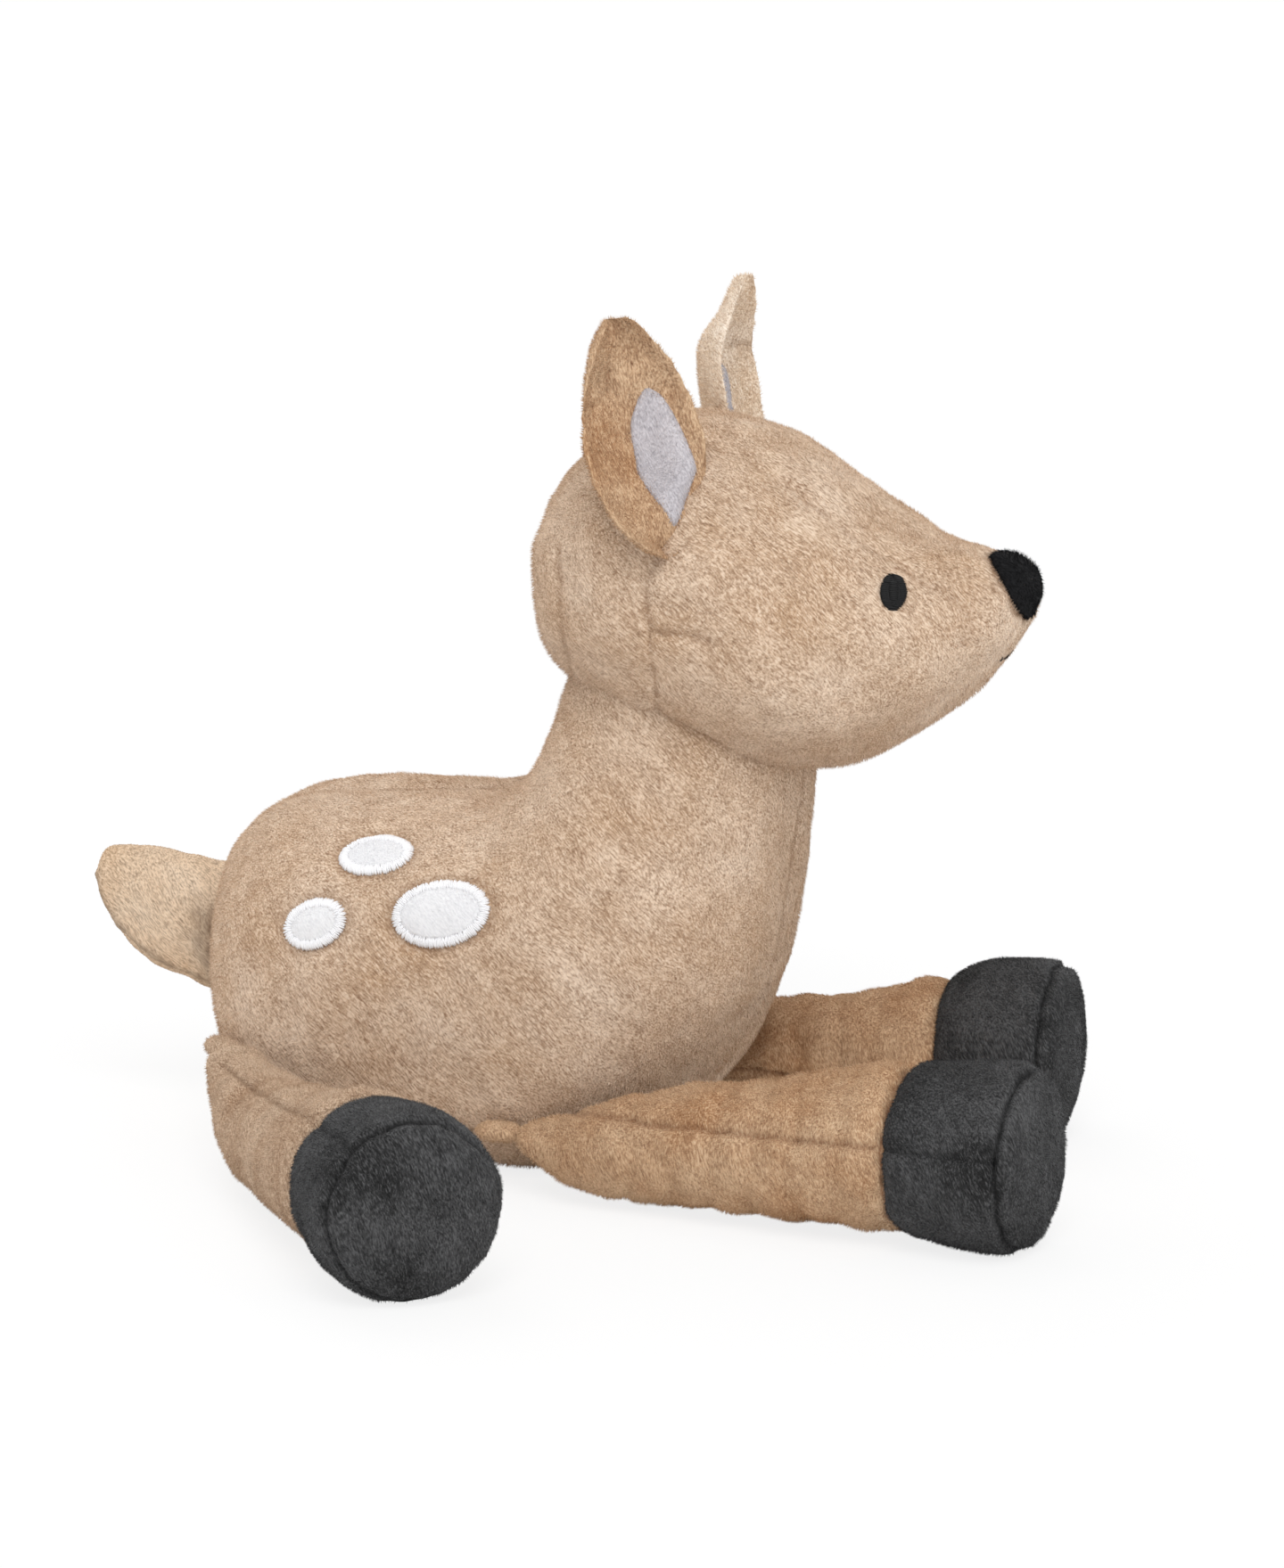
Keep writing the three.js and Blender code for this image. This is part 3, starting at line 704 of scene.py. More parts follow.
@dataclass(frozen=True)
class Pile:
    """Short fibres that stand on the cloth, each a blade of one face."""

    length: float = 1.25
    width: float = 0.19
    per_square_mm: float = 3.8
    lean: tuple[float, float, float] = (-0.5, 0.0, -0.9)
    clear_of_table: float = 1.2

    # The fibres lean along the flow. A slow noise turns them in patches some millimetres wide, and each strays a bit.
    LEAN_SHARE = 0.9
    PATCH = 9
    STRAY = 2.6
    JITTER = 0.28
    # Lengths of the fibres as shares of the pile's, and how much shorter they are in a seam.
    SHORTEST, LONGEST = 0.45, 0.8
    SHORTER = 0.7
    # A blade is a triangle in a circle of radius 1, so this is the width of its base, and its foot sinks in.
    BLADE_WIDTH = 1.73
    BLADE_MIDDLE = 0.3
    INPUTS = {
        "Geometry": "Geometry", "Length": "Float", "Width": "Float", "Density": "Float", "Lean": "Float",
        "Table": "Float", "Flow": "Vector", "Seed": "Int", "Material": "Material",
    }

    def tree(self) -> Tree:
        """Returns the node tree that plants the fibres, made once."""
        found = bpy.data.node_groups.get("pile fibres")
        if found:
            return found
        tree, inside = node_group("pile fibres", self.INPUTS)
        seed = inside["Seed"]
        place = add(tree, "GeometryNodeInputPosition").outputs[0]
        height = add(tree, "ShaderNodeSeparateXYZ", Vector=place).outputs["Z"]
        above = {"data_type": "FLOAT", "operation": "GREATER_THAN"}
        planted = add(
            tree, "GeometryNodeDistributePointsOnFaces", {"distribute_method": "RANDOM"}, Mesh=inside["Geometry"],
            Selection=add(tree, "FunctionNodeCompare", above, A=height, B=inside["Table"]).outputs[0],
            Density=inside["Density"], Seed=seed,
        )
        patches = noise(tree, place, self.PATCH, Detail=2.0)
        centred = calc(tree, "SUBTRACT", patches.outputs["Color"], (0.5, 0.5, 0.5), vector=True)
        strayed = calc(tree, "SCALE", centred, vector=True, Scale=self.STRAY)
        spread = {"i0": (-self.JITTER,) * 3, "i1": (self.JITTER,) * 3}
        jitter = add(tree, "FunctionNodeRandomValue", {"data_type": "FLOAT_VECTOR"}, **spread, Seed=seed)
        flow = calc(tree, "ADD", inside["Flow"], strayed, vector=True)
        flow = calc(tree, "SCALE", flow, vector=True, Scale=inside["Lean"])
        flow = calc(tree, "ADD", flow, jitter.outputs[0], vector=True)
        way = calc(tree, "ADD", flow, planted.outputs["Normal"], vector=True)
        turn = add(tree, "FunctionNodeAlignRotationToVector", {"axis": "Z"}, Vector=way)
        about = add(tree, "ShaderNodeCombineXYZ", Z=varied(tree, seed, 0.0, 2 * math.pi))
        local = {"rotation_space": "LOCAL"}
        turn = add(tree, "FunctionNodeRotateRotation", local, i0=turn.outputs[0], i1=about.outputs[0])
        blade = add(tree, "GeometryNodeMeshCircle", {"fill_type": "NGON"}, Vertices=3, Radius=1.0)
        for change in ({"Rotation": (0.0, -math.pi / 2, 0.0)}, {"Translation": (0.0, 0.0, self.BLADE_MIDDLE)}):
            blade = add(tree, "GeometryNodeTransform", Geometry=blade.outputs[0], **change)
        tall = calc(tree, "MULTIPLY", varied(tree, seed, self.SHORTEST, self.LONGEST), inside["Length"])
        seam = add(tree, "GeometryNodeInputNamedAttribute", {"data_type": "FLOAT"}, Name="seam")
        parted = calc(tree, "MULTIPLY_ADD", seam.outputs[0], -self.SHORTER, 1.0)
        tall = calc(tree, "MULTIPLY", tall, parted)
        size = add(tree, "ShaderNodeCombineXYZ", X=inside["Width"], Y=inside["Width"], Z=tall)
        repeated(
            tree, inside["Material"], Points=planted.outputs["Points"], Instance=blade.outputs[0],
            Rotation=turn.outputs[0], Scale=size.outputs[0],
        )
        return tree

    def grown(self, name: str, cloth: Piece, finish: Plush, seed: int, body: str, slot: str) -> Piece:
        """Grows the fibres of one piece as a mesh of their own.

        Args:
            name: The new object's name.
            cloth: The mesh that carries them.
            finish: Their material.
            seed: Picks their places.
            body: The moving body they ride on.
            slot: Their material slot, not used.

        Returns:
            The fibres.
        """
        made = bpy.data.objects.new(name, cloth.data.copy())
        bpy.context.scene.collection.objects.link(made)
        values = {
            "Length": self.length * MM, "Width": self.width * MM / self.BLADE_WIDTH,
            "Density": self.per_square_mm * 1e6, "Lean": self.LEAN_SHARE, "Table": self.clear_of_table * MM,
            "Flow": self.lean, "Seed": seed, "Material": finish.material(),
        }
        set_inputs(made, self.tree(), values)
        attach(made, body)
        return made


def set_inputs(piece: Piece, tree: Tree, values: dict[str, object]) -> None:
    """Runs a Geometry Nodes tree on a mesh and keeps its result as the mesh.

    Args:
        piece: The object to change.
        tree: The node tree.
        values: The tree's inputs by name.
    """
    grown = piece.modifiers.new(tree.name, "NODES")
    grown.node_group = tree
    for item in tree.interface.items_tree:
        if item.in_out == "INPUT" and item.name in values:
            grown[item.identifier] = values[item.name]
    baked(piece)


@dataclass(frozen=True)
class Stitches:
    """Embroidery stitches: slim domes laid on chosen places, along chosen directions."""

    width: float
    height: float

    # Lengths of the stitches, as shares of the given ones.
    SHORTEST, LONGEST = 0.9, 1.08
    INPUTS = {"Geometry": "Geometry", "Width": "Float", "Height": "Float", "Seed": "Int", "Material": "Material"}

    def tree(self) -> Tree:
        """Returns the node tree that lays the stitches, made once."""
        found = bpy.data.node_groups.get("stitches")
        if found:
            return found
        tree, inside = node_group("stitches", self.INPUTS)
        vector = {"data_type": "FLOAT_VECTOR"}
        out, along = [
            add(tree, "GeometryNodeInputNamedAttribute", vector, Name=name).outputs[0] for name in ("outward", "along")
        ]
        reach = add(tree, "ShaderNodeVectorMath", {"operation": "LENGTH"}, i0=along).outputs["Value"]
        axes = {"primary_axis": "Z", "secondary_axis": "X"}
        turn = add(tree, "FunctionNodeAxesToRotation", axes, i0=out, i1=along)
        long = calc(tree, "MULTIPLY", reach, varied(tree, inside["Seed"], self.SHORTEST, self.LONGEST))
        size = add(tree, "ShaderNodeCombineXYZ", X=long, Y=inside["Width"], Z=inside["Height"])
        bead = add(tree, "GeometryNodeMeshUVSphere", Segments=8, Rings=5, Radius=0.5)
        soft = add(tree, "GeometryNodeSetShadeSmooth", Geometry=bead.outputs[0])
        repeated(
            tree, inside["Material"], Points=inside["Geometry"], Instance=soft.outputs[0], Rotation=turn.outputs[0],
            Scale=size.outputs[0],
        )
        return tree

    def laid(self, name: str, places: Array, outward: Array, along: Array, thread: Thread, seed: int) -> Piece:
        """Lays one stitch on each place.

        Args:
            name: The new object's name.
            places: Middles of the stitches, in millimetres.
            outward: Directions away from the cloth.
            along: Directions of the stitches, as long as each stitch.
            thread: Their material.
            seed: Varies their lengths.

        Returns:
            The stitches as one mesh.
        """
        made = mesh_object(name, places, [])
        for label, rows in (("outward", outward), ("along", along * MM)):
            store = made.data.attributes.new(label, "FLOAT_VECTOR", "POINT")
            store.data.foreach_set("vector", np.ascontiguousarray(rows, dtype=np.float32).ravel())
        sizes = {"Width": self.width * MM, "Height": self.height * MM}
        set_inputs(made, self.tree(), {**sizes, "Seed": seed, "Material": thread.material()})
        return made


# The deer


class Side(Enum):
    """The deer's own sides, with the sign of their Y."""

    RIGHT = -1
    LEFT = 1

    @property
    def word(self) -> str:
        """Returns the side's name as the parts use it."""
        return self.name.lower()


def only(away: Array, where: Array) -> Array:
    """Returns the distances, with a far one wherever the seam doesn't run."""
    return np.where(where, away, FAR)


def to_line(flat: Array, line: Sequence[Sequence[float]]) -> Array:
    """Returns the distance of flat places to a line of straight pieces.

    Args:
        flat: Places with two coordinates each.
        line: The line's corners.
    """
    corners = np.array(line, float)
    away = np.full(len(flat), FAR)
    for start, end in zip(corners, corners[1:]):
        way = end - start
        along = np.clip(((flat - start) @ way) / (way @ way), 0, 1)
        away = np.minimum(away, np.linalg.norm(flat - start - along[:, None] * way, axis=1))
    return away


def beside(line: Sequence[Sequence[float]], side_from: float) -> Distance:
    """Returns the distance to a seam on both cheeks, given by its x and z as seen from the side.

    Args:
        line: The seam's corners.
        side_from: Least distance from the middle plane at which it counts.
    """
    return lambda p: only(to_line(p[:, [0, 2]], line), np.abs(p[:, 1]) > side_from)


@dataclass
class Stuffed:
    """Makes a stuffed cloth form from its coarse skin."""

    name: str
    body: str
    nodes: tuple[str, ...]
    slot: str
    finish: Plush
    seed: int
    cap: float
    lumps: float
    lump_size: float
    pile: Pile
    fill: float = 0.8

    PRESSURE = 0.6
    LEVELS = 2
    # Millimetres beside a seam in which it holds the cloth against the filling.
    HOLD = 7.0

    def make(
        self, skin: Skin, seams: Sequence[Seam], fit: Callable[[Array], Array] | None = None,
        held: Callable[[Array], Array] | None = None,
    ) -> Piece:
        """Swells, rounds and sews the cloth, and grows its pile.

        Args:
            skin: The coarse surface.
            seams: The seams to press in.
            fit: Moves the points of the dense mesh clear of the neighbours.
            held: Says how firmly each point is held while the filling swells the cloth, if not by the seams alone.

        Returns:
            The cloth.
        """
        cloth = mesh_object(self.name, skin.points(), skin.faces())
        places, _ = read_points(cloth)
        if held is None:
            away = np.min([np.abs(seam.distance(places)) for seam in seams], axis=0)
            weights = np.clip(1 - away / self.HOLD, 0.0, 1.0)
        else:
            weights = held(places)
        swell(cloth, weights, self.PRESSURE, self.cap)
        subdivided(cloth, self.LEVELS)
        sewn(cloth, seams, self.lumps, self.lump_size, self.seed)
        if fit:
            places, _ = read_points(cloth)
            write_points(cloth, fit(places))
        worn(cloth, self.finish, self.body, self.slot, *self.nodes)
        fibres = self.pile.grown(f"{self.name}_pile", cloth, self.finish, self.seed, self.body, self.slot)
        LOG.info("%s: %d faces, pile %d", self.name, len(cloth.data.polygons), len(fibres.data.polygons))
        return cloth


def levelled(points: Array, floor: float, softness: float) -> Array:
    """Flattens what comes near the table, with a soft edge.

    Args:
        points: Places in millimetres.
        floor: The height that no point passes.
        softness: How far above it the flattening starts.

    Returns:
        The new places.
    """
    start = floor + softness
    low = points[:, 2] < start
    flat = points.copy()
    flat[low, 2] = floor + softness * np.exp((points[low, 2] - start) / softness)
    return flat


@dataclass
class Torso:
    """The body and neck: two side covers and an underside, sewn together over the filling."""

    length: float = 136.0
    back: float = 89.0
    width: float = 98.0
    neck_reach: float = 52.0
    neck_length: float = 58.0
    neck_top: float = 130.5
    neck_width: float = 62.0
    squareness: float = 2.4
    seat_squareness: float = 3.2
    base_seam: float = 12.0

    # Shares of the length and height: the top's x and z, the bottom's x and z; then a share of the width.
    TRUNK = (
        (-0.497, 0.74, -0.486, 0.28, 0.42),
        (-0.47, 0.85, -0.458, 0.11, 0.65),
        (-0.41, 0.93, -0.4, 0.01, 0.83),
        (-0.286, 0.974, -0.3, -0.018, 0.95),
        (-0.143, 0.996, -0.143, -0.018, 1),
        (-0.014, 1.004, 0.029, -0.018, 1),
        (0.05, 1.028, 0.2, -0.018, 0.98),
        (0.093, 1.078, 0.343, 0.075, 0.94),
        (0.121, 1.139, 0.443, 0.25, 0.87),
    )
    NECK = (
        (-0.543, 0.85, 0.362, 0.36, 1.24),
        (-0.517, 0.9, 0.448, 0.56, 1.1),
        (-0.48, 0.955, 0.5, 0.76, 1.02),
        (-0.43, 1.01, 0.53, 0.94, 0.97),
    )
    RUMP = (-0.503, 0.53)

    def skin(self) -> Skin:
        """Returns the coarse surface from the rump to inside the head."""
        rows = []
        for start, long, high, wide, table in (
            (0.0, self.length, self.back, self.width, self.TRUNK),
            (self.neck_reach, self.neck_length, self.neck_top, self.neck_width, self.NECK),
        ):
            for tx, tz, bx, bz, w in table:
                lower = self.seat_squareness if bz < 0.05 else self.squareness
                place = (start + tx * long, tz * high, start + bx * long, bz * high, w * wide / 2)
                rows.append((*place, self.squareness, lower))
        end = ((rows[-1][0] + rows[-1][2]) / 2, (rows[-1][1] + rows[-1][3]) / 2)
        return loft(rows, (self.RUMP[0] * self.length, self.RUMP[1] * self.back), end, 58, 64)

    def build(self) -> Piece:
        """Returns the finished body cloth."""
        seams = [
            Seam(lambda p: only(p[:, 1], p[:, 2] > self.base_seam - 1), depth=0.9, width=1.4),
            Seam(lambda p: p[:, 2] - self.base_seam, depth=1.2, width=1.6),
            # The crease round each spot, with shade painted along it.
            Seam(Spots().off, depth=0.5, width=1.3, parts=0.5, spread=1.0),
        ]
        maker = Stuffed(
            "torso_cloth", "torso", ("body_cover_right", "body_cover_left", "body_base", "body_filling"), "tan_plush",
            TAN, lumps=0.45, lump_size=24, seed=3, cap=1.2, pile=Pile(per_square_mm=3.6, lean=(-0.6, 0, -0.8)),
        )
        return maker.make(self.skin(), seams, lambda p: levelled(p, 0.2, 1.8))


@dataclass
class Head:
    """The head: two cheeks, a crown gusset and a black nose panel over the filling."""

    length: float = 123.0
    height: float = 84.0
    width: float = 92.0
    reach: float = 52.0
    lift: float = 111.5
    crown_width: float = 40.0
    squareness: float = 2.15
    nose_slant: float = 0.55
    nose_yaw: float = 0.29

    # Shares of the length and height: the top's x and z, the bottom's x and z; then a share of the width.
    ROWS = (
        (-0.283, 0.53, -0.281, 0.33, 0.3),
        (-0.265, 0.645, -0.255, 0.19, 0.56),
        (-0.208, 0.765, -0.195, 0.085, 0.77),
        (-0.1, 0.865, -0.075, 0.01, 0.94),
        (0.035, 0.897, 0.06, -0.055, 1),
        (0.17, 0.852, 0.18, -0.108, 0.985),
        (0.295, 0.748, 0.305, -0.102, 0.91),
        (0.42, 0.628, 0.415, -0.052, 0.78),
        (0.515, 0.566, 0.51, 0.035, 0.64),
        (0.6, 0.545, 0.59, 0.145, 0.49),
        (0.655, 0.528, 0.65, 0.24, 0.37),
        (0.692, 0.492, 0.69, 0.325, 0.24),
    )
    BRIDGE = (0.61, 0.548)
    # Where the gusset starts at the nape, as a share of the height, and how far the nose panel laps over its seam.
    GUSSET_START = 0.3
    NOSE_LAP = 0.6
    # Seams on both sides, by their x and z.
    CHEEK = ((58.9, 158.4), (55.8, 153.1), (56.4, 144.8), (56.6, 136.1), (56.5, 126.9), (54.2, 117.1))
    DART = ((57.7, 140.9), (64.0, 140.9), (71.5, 139.7))
    NAPE = ((29.5, 158.0), (30.5, 141.4), (29.0, 122.0))

    def place(self, along: float, up: float) -> tuple[float, float]:
        """Returns the x and z of a place given in shares of the head."""
        return self.reach + along * self.length, self.lift + up * self.height

    def before_nose(self, p: Array) -> Array:
        """Returns how far each place lies before the nose seam's plane."""
        x, z = self.place(*self.BRIDGE)
        ahead = (p[:, 0] - x) * math.cos(self.nose_slant) + (p[:, 2] - z) * math.sin(self.nose_slant)
        return ahead * math.cos(self.nose_yaw) - np.abs(p[:, 1]) * math.sin(self.nose_yaw)

    def skin(self) -> Skin:
        """Returns the coarse surface from the back of the head to the nose."""
        rows = [
            (*self.place(tx, tz), *self.place(bx, bz), w * self.width / 2, self.squareness, self.squareness)
            for tx, tz, bx, bz, w in self.ROWS
        ]
        return loft(rows, self.place(-0.287, 0.43), self.place(0.708, 0.415), 56, 60)

    def build(self) -> Piece:
        """Returns the finished head cloth, the nose panel's ground included."""
        floor = self.lift + self.GUSSET_START * self.height
        crown = self.crown_width / 2

        def gusset(p: Array) -> Array:
            return only(np.abs(p[:, 1]) - crown, (p[:, 2] > floor) & (self.before_nose(p) < 0))

        def nape(p: Array) -> Array:
            return only(p[:, 2] - floor, (np.abs(p[:, 1]) < crown) & (p[:, 0] < self.reach))

        def chin(p: Array) -> Array:
            return only(p[:, 1], (p[:, 2] < floor) & (self.before_nose(p) < 0))

        seams = [
            Seam(gusset, depth=0.8, width=1.3, parts=0.3),
            Seam(nape, depth=0.8, width=1.3, parts=0.5),
            Seam(chin, depth=0.8, width=1.3),
            Seam(self.before_nose, depth=0.9, width=1.2),
            Seam(beside(self.CHEEK, 15), depth=0.7, width=1.2, parts=0.5),
            Seam(beside(self.DART, 15), depth=0.9, width=1.4, parts=0.55),
            Seam(beside(self.NAPE, 12), depth=0.7, width=1.2, parts=0.5),
        ]
        maker = Stuffed(
            "head_cloth", "torso", ("head_cover_right", "head_cover_left", "head_crown_gusset", "head_filling"),
            "tan_plush", TAN, lumps=0.4, lump_size=22, seed=5, cap=1.0,
            pile=Pile(per_square_mm=3.6, lean=(-0.75, 0, -0.55)),
        )
        return maker.make(self.skin(), seams)

    def nose(self, ground: Piece) -> None:
        """Lays the black panel over the tip of the head.

        Args:
            ground: The head cloth.
        """
        places, normals = read_points(ground)
        ahead = self.before_nose(places)
        kept = [f for f in ground.data.polygons if all(ahead[v] > -self.NOSE_LAP for v in f.vertices)]
        used = sorted({v for f in kept for v in f.vertices})
        number = {v: i for i, v in enumerate(used)}
        # The panel's turned edge lies low and rises within a millimetre and a half.
        rise = np.clip((ahead[used] + self.NOSE_LAP) / 1.6, 0, 1)[:, None]
        lifted = places[used] + normals[used] * (0.15 + 0.75 * np.sqrt(rise))
        panel = mesh_object("nose_panel_cloth", lifted, [tuple(number[v] for v in f.vertices) for f in kept])
        thickened(panel, 0.9)
        worn(panel, BLACK, "torso", "black_plush", "nose_panel")
        pile = Pile(length=1.3, per_square_mm=5.0, lean=(-0.7, 0, -0.4))
        pile.grown("nose_pile", panel, BLACK, 71, "torso", "black_plush")


@dataclass
class Leg:
    """One leg on its fabric hip: a tan sleeve gathered into a dark hoof with a round sole."""

    name: str
    hip: tuple[float, float, float]
    yaw: float
    lift: float
    seed: int
    sleeve_length: float = 101.5
    hoof_length: float = 29.0
    sole_bulge: float = 5.0
    hoof: float = 46.0
    ankle: float = 41.0
    above_table: float = 1.9
    cuff_share: float = 0.86
    seam_turn: float = 0.0
    bend: float = 0.0
    fold_depth: float = 0.7
    clear_share: float = 1.0
    finish: Plush = SLEEVE_TAN
    tab_radius: float = 4.0
    tab_gap: float = 0.6
    hip_width: float = 13.0
    hip_thickness: float = 5.0

    # Shares of the length, the height, the width and the fall from the hip to the table.
    SLEEVE = (
        (0.012, 0.09, 0.25, 0),
        (0.05, 0.22, 0.36, 0.12),
        (0.13, 0.42, 0.48, 0.4),
        (0.26, 0.62, 0.62, 0.8),
        (0.42, 0.73, 0.74, 1),
        (0.6, 0.81, 0.84, 1),
        (0.8, 0.91, 0.93, 1),
        (0.97, 1, 1, 1),
        (1.0, 0.95, 0.95, 1),
        (1.012, 0.8, 0.8, 1),
    )
    # Soft folds across the sleeve: their distance from the hip, and how much they slant.
    FOLDS = ((34.0, 0.12), (47.0, -0.1), (58.0, 0.15), (69.0, 0.05), (80.0, -0.12), (93.0, 0.06))
    # Shares of the length and of the radius.
    HOOF = ((0.25, 0.935), (0.6, 0.985), (0.85, 1.0), (0.96, 1.0), (1.0, 0.985))
    SOLE = ((0.2, 0.955), (0.5, 0.86), (0.78, 0.66), (0.94, 0.38))
    # The knot of gathered cloth at the hip: place along, half height in millimetres, half width.
    KNOT = ((-1.05, 1.9, 0.6), (0, 2.3, 0.76), (0.75, 1.6, 0.5))
    # Millimetres: where the bend starts before the cuff and how far it runs, the hoof's gap, the clearance to the body.
    BEND_START, BEND_REACH = 30, 40.0
    CUFF_GAP = 0.3
    CLEARANCE = 0.35

    @property
    def cuff(self) -> float:
        """Returns how far the hoof's cuff lies from the hip."""
        return self.tab_radius + self.tab_gap + self.sleeve_length

    def curve(self, x: Array) -> tuple[Array, Array]:
        """Returns how far aside the leg's middle line has bent, and its turn, at some places along the leg."""
        turn, past = math.radians(self.bend), x - self.cuff + self.BEND_START
        late = np.clip(past / self.BEND_REACH, 0, 1)
        return turn * (self.BEND_REACH * late**2 / 2 + np.maximum(past - self.BEND_REACH, 0)), turn * late

    def placed(self, p: Array) -> Array:
        """Turns places along the leg into the deer's frame."""
        aside, bent = self.curve(p[:, 0])
        x, y = p[:, 0] - p[:, 1] * np.sin(bent), aside + p[:, 1] * np.cos(bent)
        turn = math.radians(self.yaw)
        c, s = math.cos(turn), math.sin(turn)
        return np.stack([self.hip[0] + c * x - s * y, self.hip[1] + s * x + c * y, p[:, 2]], -1)

    def along(self, p: Array) -> Array:
        """Returns how far each place lies from the hip along the leg, and how far aside."""
        turn = math.radians(self.yaw)
        x, y = p[:, 0] - self.hip[0], p[:, 1] - self.hip[1]
        x, y = math.cos(turn) * x + math.sin(turn) * y, math.cos(turn) * y - math.sin(turn) * x
        aside, bent = self.curve(x)
        return np.stack([x + (y - aside) * np.sin(bent), y - aside], -1)

    def beside_seam(self, p: Array) -> Array:
        """Returns the distance to the seam along both sides of the leg."""
        middle, turn = self.ankle / 2 + self.above_table, math.radians(self.seam_turn)
        return (p[:, 2] - middle) * math.cos(turn) + self.along(p)[:, 1] * math.sin(turn)

    def fold(self, at: float, lean: float) -> Distance:
        """Returns the distance to one soft fold across the sleeve."""

        def away(p: Array) -> Array:
            slanted = self.along(p)[:, 0] - at - self.seed % 5 - lean * (p[:, 2] - 15)
            return slanted - 2 * waves(p, 19, self.seed + int(at))

        return away

    def sleeve_skin(self) -> Skin:
        """Returns the coarse sleeve from the hip to inside the hoof."""
        start, rows = self.tab_radius + self.tab_gap, []
        for along, high, wide, fall in self.SLEEVE:
            half = max(high * self.ankle, self.hip_thickness / 2 if along < 0.02 else self.hip_thickness) / 2
            middle = self.hip[2] + (half + self.above_table - self.hip[2]) * fall
            x = start + along * self.sleeve_length
            rows.append((x, middle + half, x, middle - half, max(wide * self.ankle, self.hip_width) / 2, 2, 2))
        end = rows[-1][0] + self.CUFF_GAP
        return loft(rows, (start, self.hip[2]), (end, self.ankle / 2 + self.above_table), 36, 32).moved(self.placed)

    def hoof_skin(self) -> Skin:
        """Returns the coarse hoof from its cuff to the middle of the sole."""
        cuff, radius = self.cuff + self.CUFF_GAP, self.hoof / 2
        middle, base = radius - 0.5, cuff + self.hoof_length
        neck = ((-0.03, self.cuff_share - 0.06), (0.0, self.cuff_share), (0.05, self.cuff_share + 0.03))
        rings = [(cuff + a * self.hoof_length, s * radius) for a, s in (*neck, *self.HOOF)]
        rings += [(base + a * self.sole_bulge, s * radius) for a, s in self.SOLE]
        rows = [(x, middle + half, x, middle - half, half, 2, 2) for x, half in rings]
        return loft(rows, (cuff - 0.9, middle), (base + self.sole_bulge, middle), 26, 36).moved(self.placed)

    def clear(self, p: Array, torso: BVHTree) -> Array:
        """Moves the sleeve's points clear of the body at five turns of its lift, and flat on the table."""
        turn, pivot = math.radians(self.yaw), np.array(self.hip)
        axis = Vector((math.sin(turn), -math.cos(turn), 0))
        out = p.copy()
        for i in range(5):
            swing = np.array(Matrix.Rotation(math.radians(self.lift * self.clear_share * i / 4), 3, axis))
            swung = (out - pivot) @ swing.T + pivot
            out = (pushed_out(swung, torso, self.CLEARANCE) - pivot) @ swing + pivot
        return levelled(out, 0.5, 1.5)

    def build(self, torso: BVHTree) -> None:
        """Makes the tab, the sleeve and the hoof.

        Args:
            torso: Search tree of the body cloth, which the sleeve keeps clear of as it lifts.
        """
        body, cuff, turn = f"{self.name}_leg", self.cuff, math.radians(self.yaw)
        brushed = (-0.5 * math.cos(turn), -0.5 * math.sin(turn), -0.5)
        base = cuff + self.CUFF_GAP + self.hoof_length

        def side(p: Array) -> Array:
            along = self.along(p)[:, 0]
            return only(self.beside_seam(p), (along > 14) & (along < cuff))

        seams = [
            Seam(lambda p: self.along(p)[:, 0] - cuff, depth=0.6, width=1.6, pucker=0.8),
            Seam(side, depth=0.85, width=1.0, parts=0.6),
        ]
        for at, lean in self.FOLDS:
            seams.append(Seam(self.fold(at, lean), depth=self.fold_depth, width=2.6, pucker=0.0, parts=0.0))
        sleeve = Stuffed(
            f"sleeve_{self.name}", body, (f"leg_{self.name}",), "tan_plush", self.finish, seed=self.seed, lumps=0.4,
            lump_size=15, cap=1.2, pile=Pile(length=1.05, per_square_mm=4.4, lean=brushed),
        )
        sleeve.make(self.sleeve_skin(), seams, lambda p: self.clear(p, torso))
        rim = Seam(lambda p: self.along(p)[:, 0] - base, depth=1.3, width=1.0)
        ring = Seam(lambda p: only(self.beside_seam(p), self.along(p)[:, 0] < base), depth=0.7, width=1.0, parts=0.5)
        hoof = Stuffed(
            f"hoof_{self.name}_cloth", body, (f"hoof_{self.name}", f"sole_{self.name}"), "grey_plush", GREY,
            seed=self.seed + 1, lumps=0.3, lump_size=14, cap=1.0,
            pile=Pile(length=0.9, per_square_mm=4.8, lean=brushed),
        )
        hoof.make(self.hoof_skin(), [rim, ring], lambda p: levelled(p, 0.2, 1.5))
        self.build_tab(f"{self.name}_hip")

    def build_tab(self, body: str) -> None:
        """Makes the sewn tab between body and leg, which reaches into both, so that nothing opens as the hip turns.

        Args:
            body: The moving body it rides on.
        """
        r, z = 1.35 * self.tab_radius, self.hip[2]
        rows = [(x * r, z + high, x * r, z - high, wide * r, 2, 2) for x, high, wide in self.KNOT]
        skin = loft(rows, (-1.4 * r, z), (r, z), 9, 16).moved(self.placed)
        tab = mesh_object(f"tab_{self.name}", skin.points(), skin.faces())
        subdivided(tab, 1)
        worn(tab, self.finish, body, "tan_plush", f"hip_tab_{self.name}")
        pile = Pile(length=1.0, lean=(-0.3, 0, -0.6))
        pile.grown(f"tab_{self.name}_pile", tab, self.finish, self.seed + 2, body, "tan_plush")


@dataclass(frozen=True)
class EarForm:
    """How one ear stands on the head and how it is cupped, given as on the right side."""

    root: tuple[float, float, float]
    rise: tuple[float, float, float]
    faces: tuple[float, float, float]
    cup: float
    lean: float
    stretch: float
    finish: Plush
    bend: float = 0.0
    flat_tip: float = 0.0
    flat_foot: float = 0.0
    lining_out: float = 1.0
    lining_edge: float = 9.0


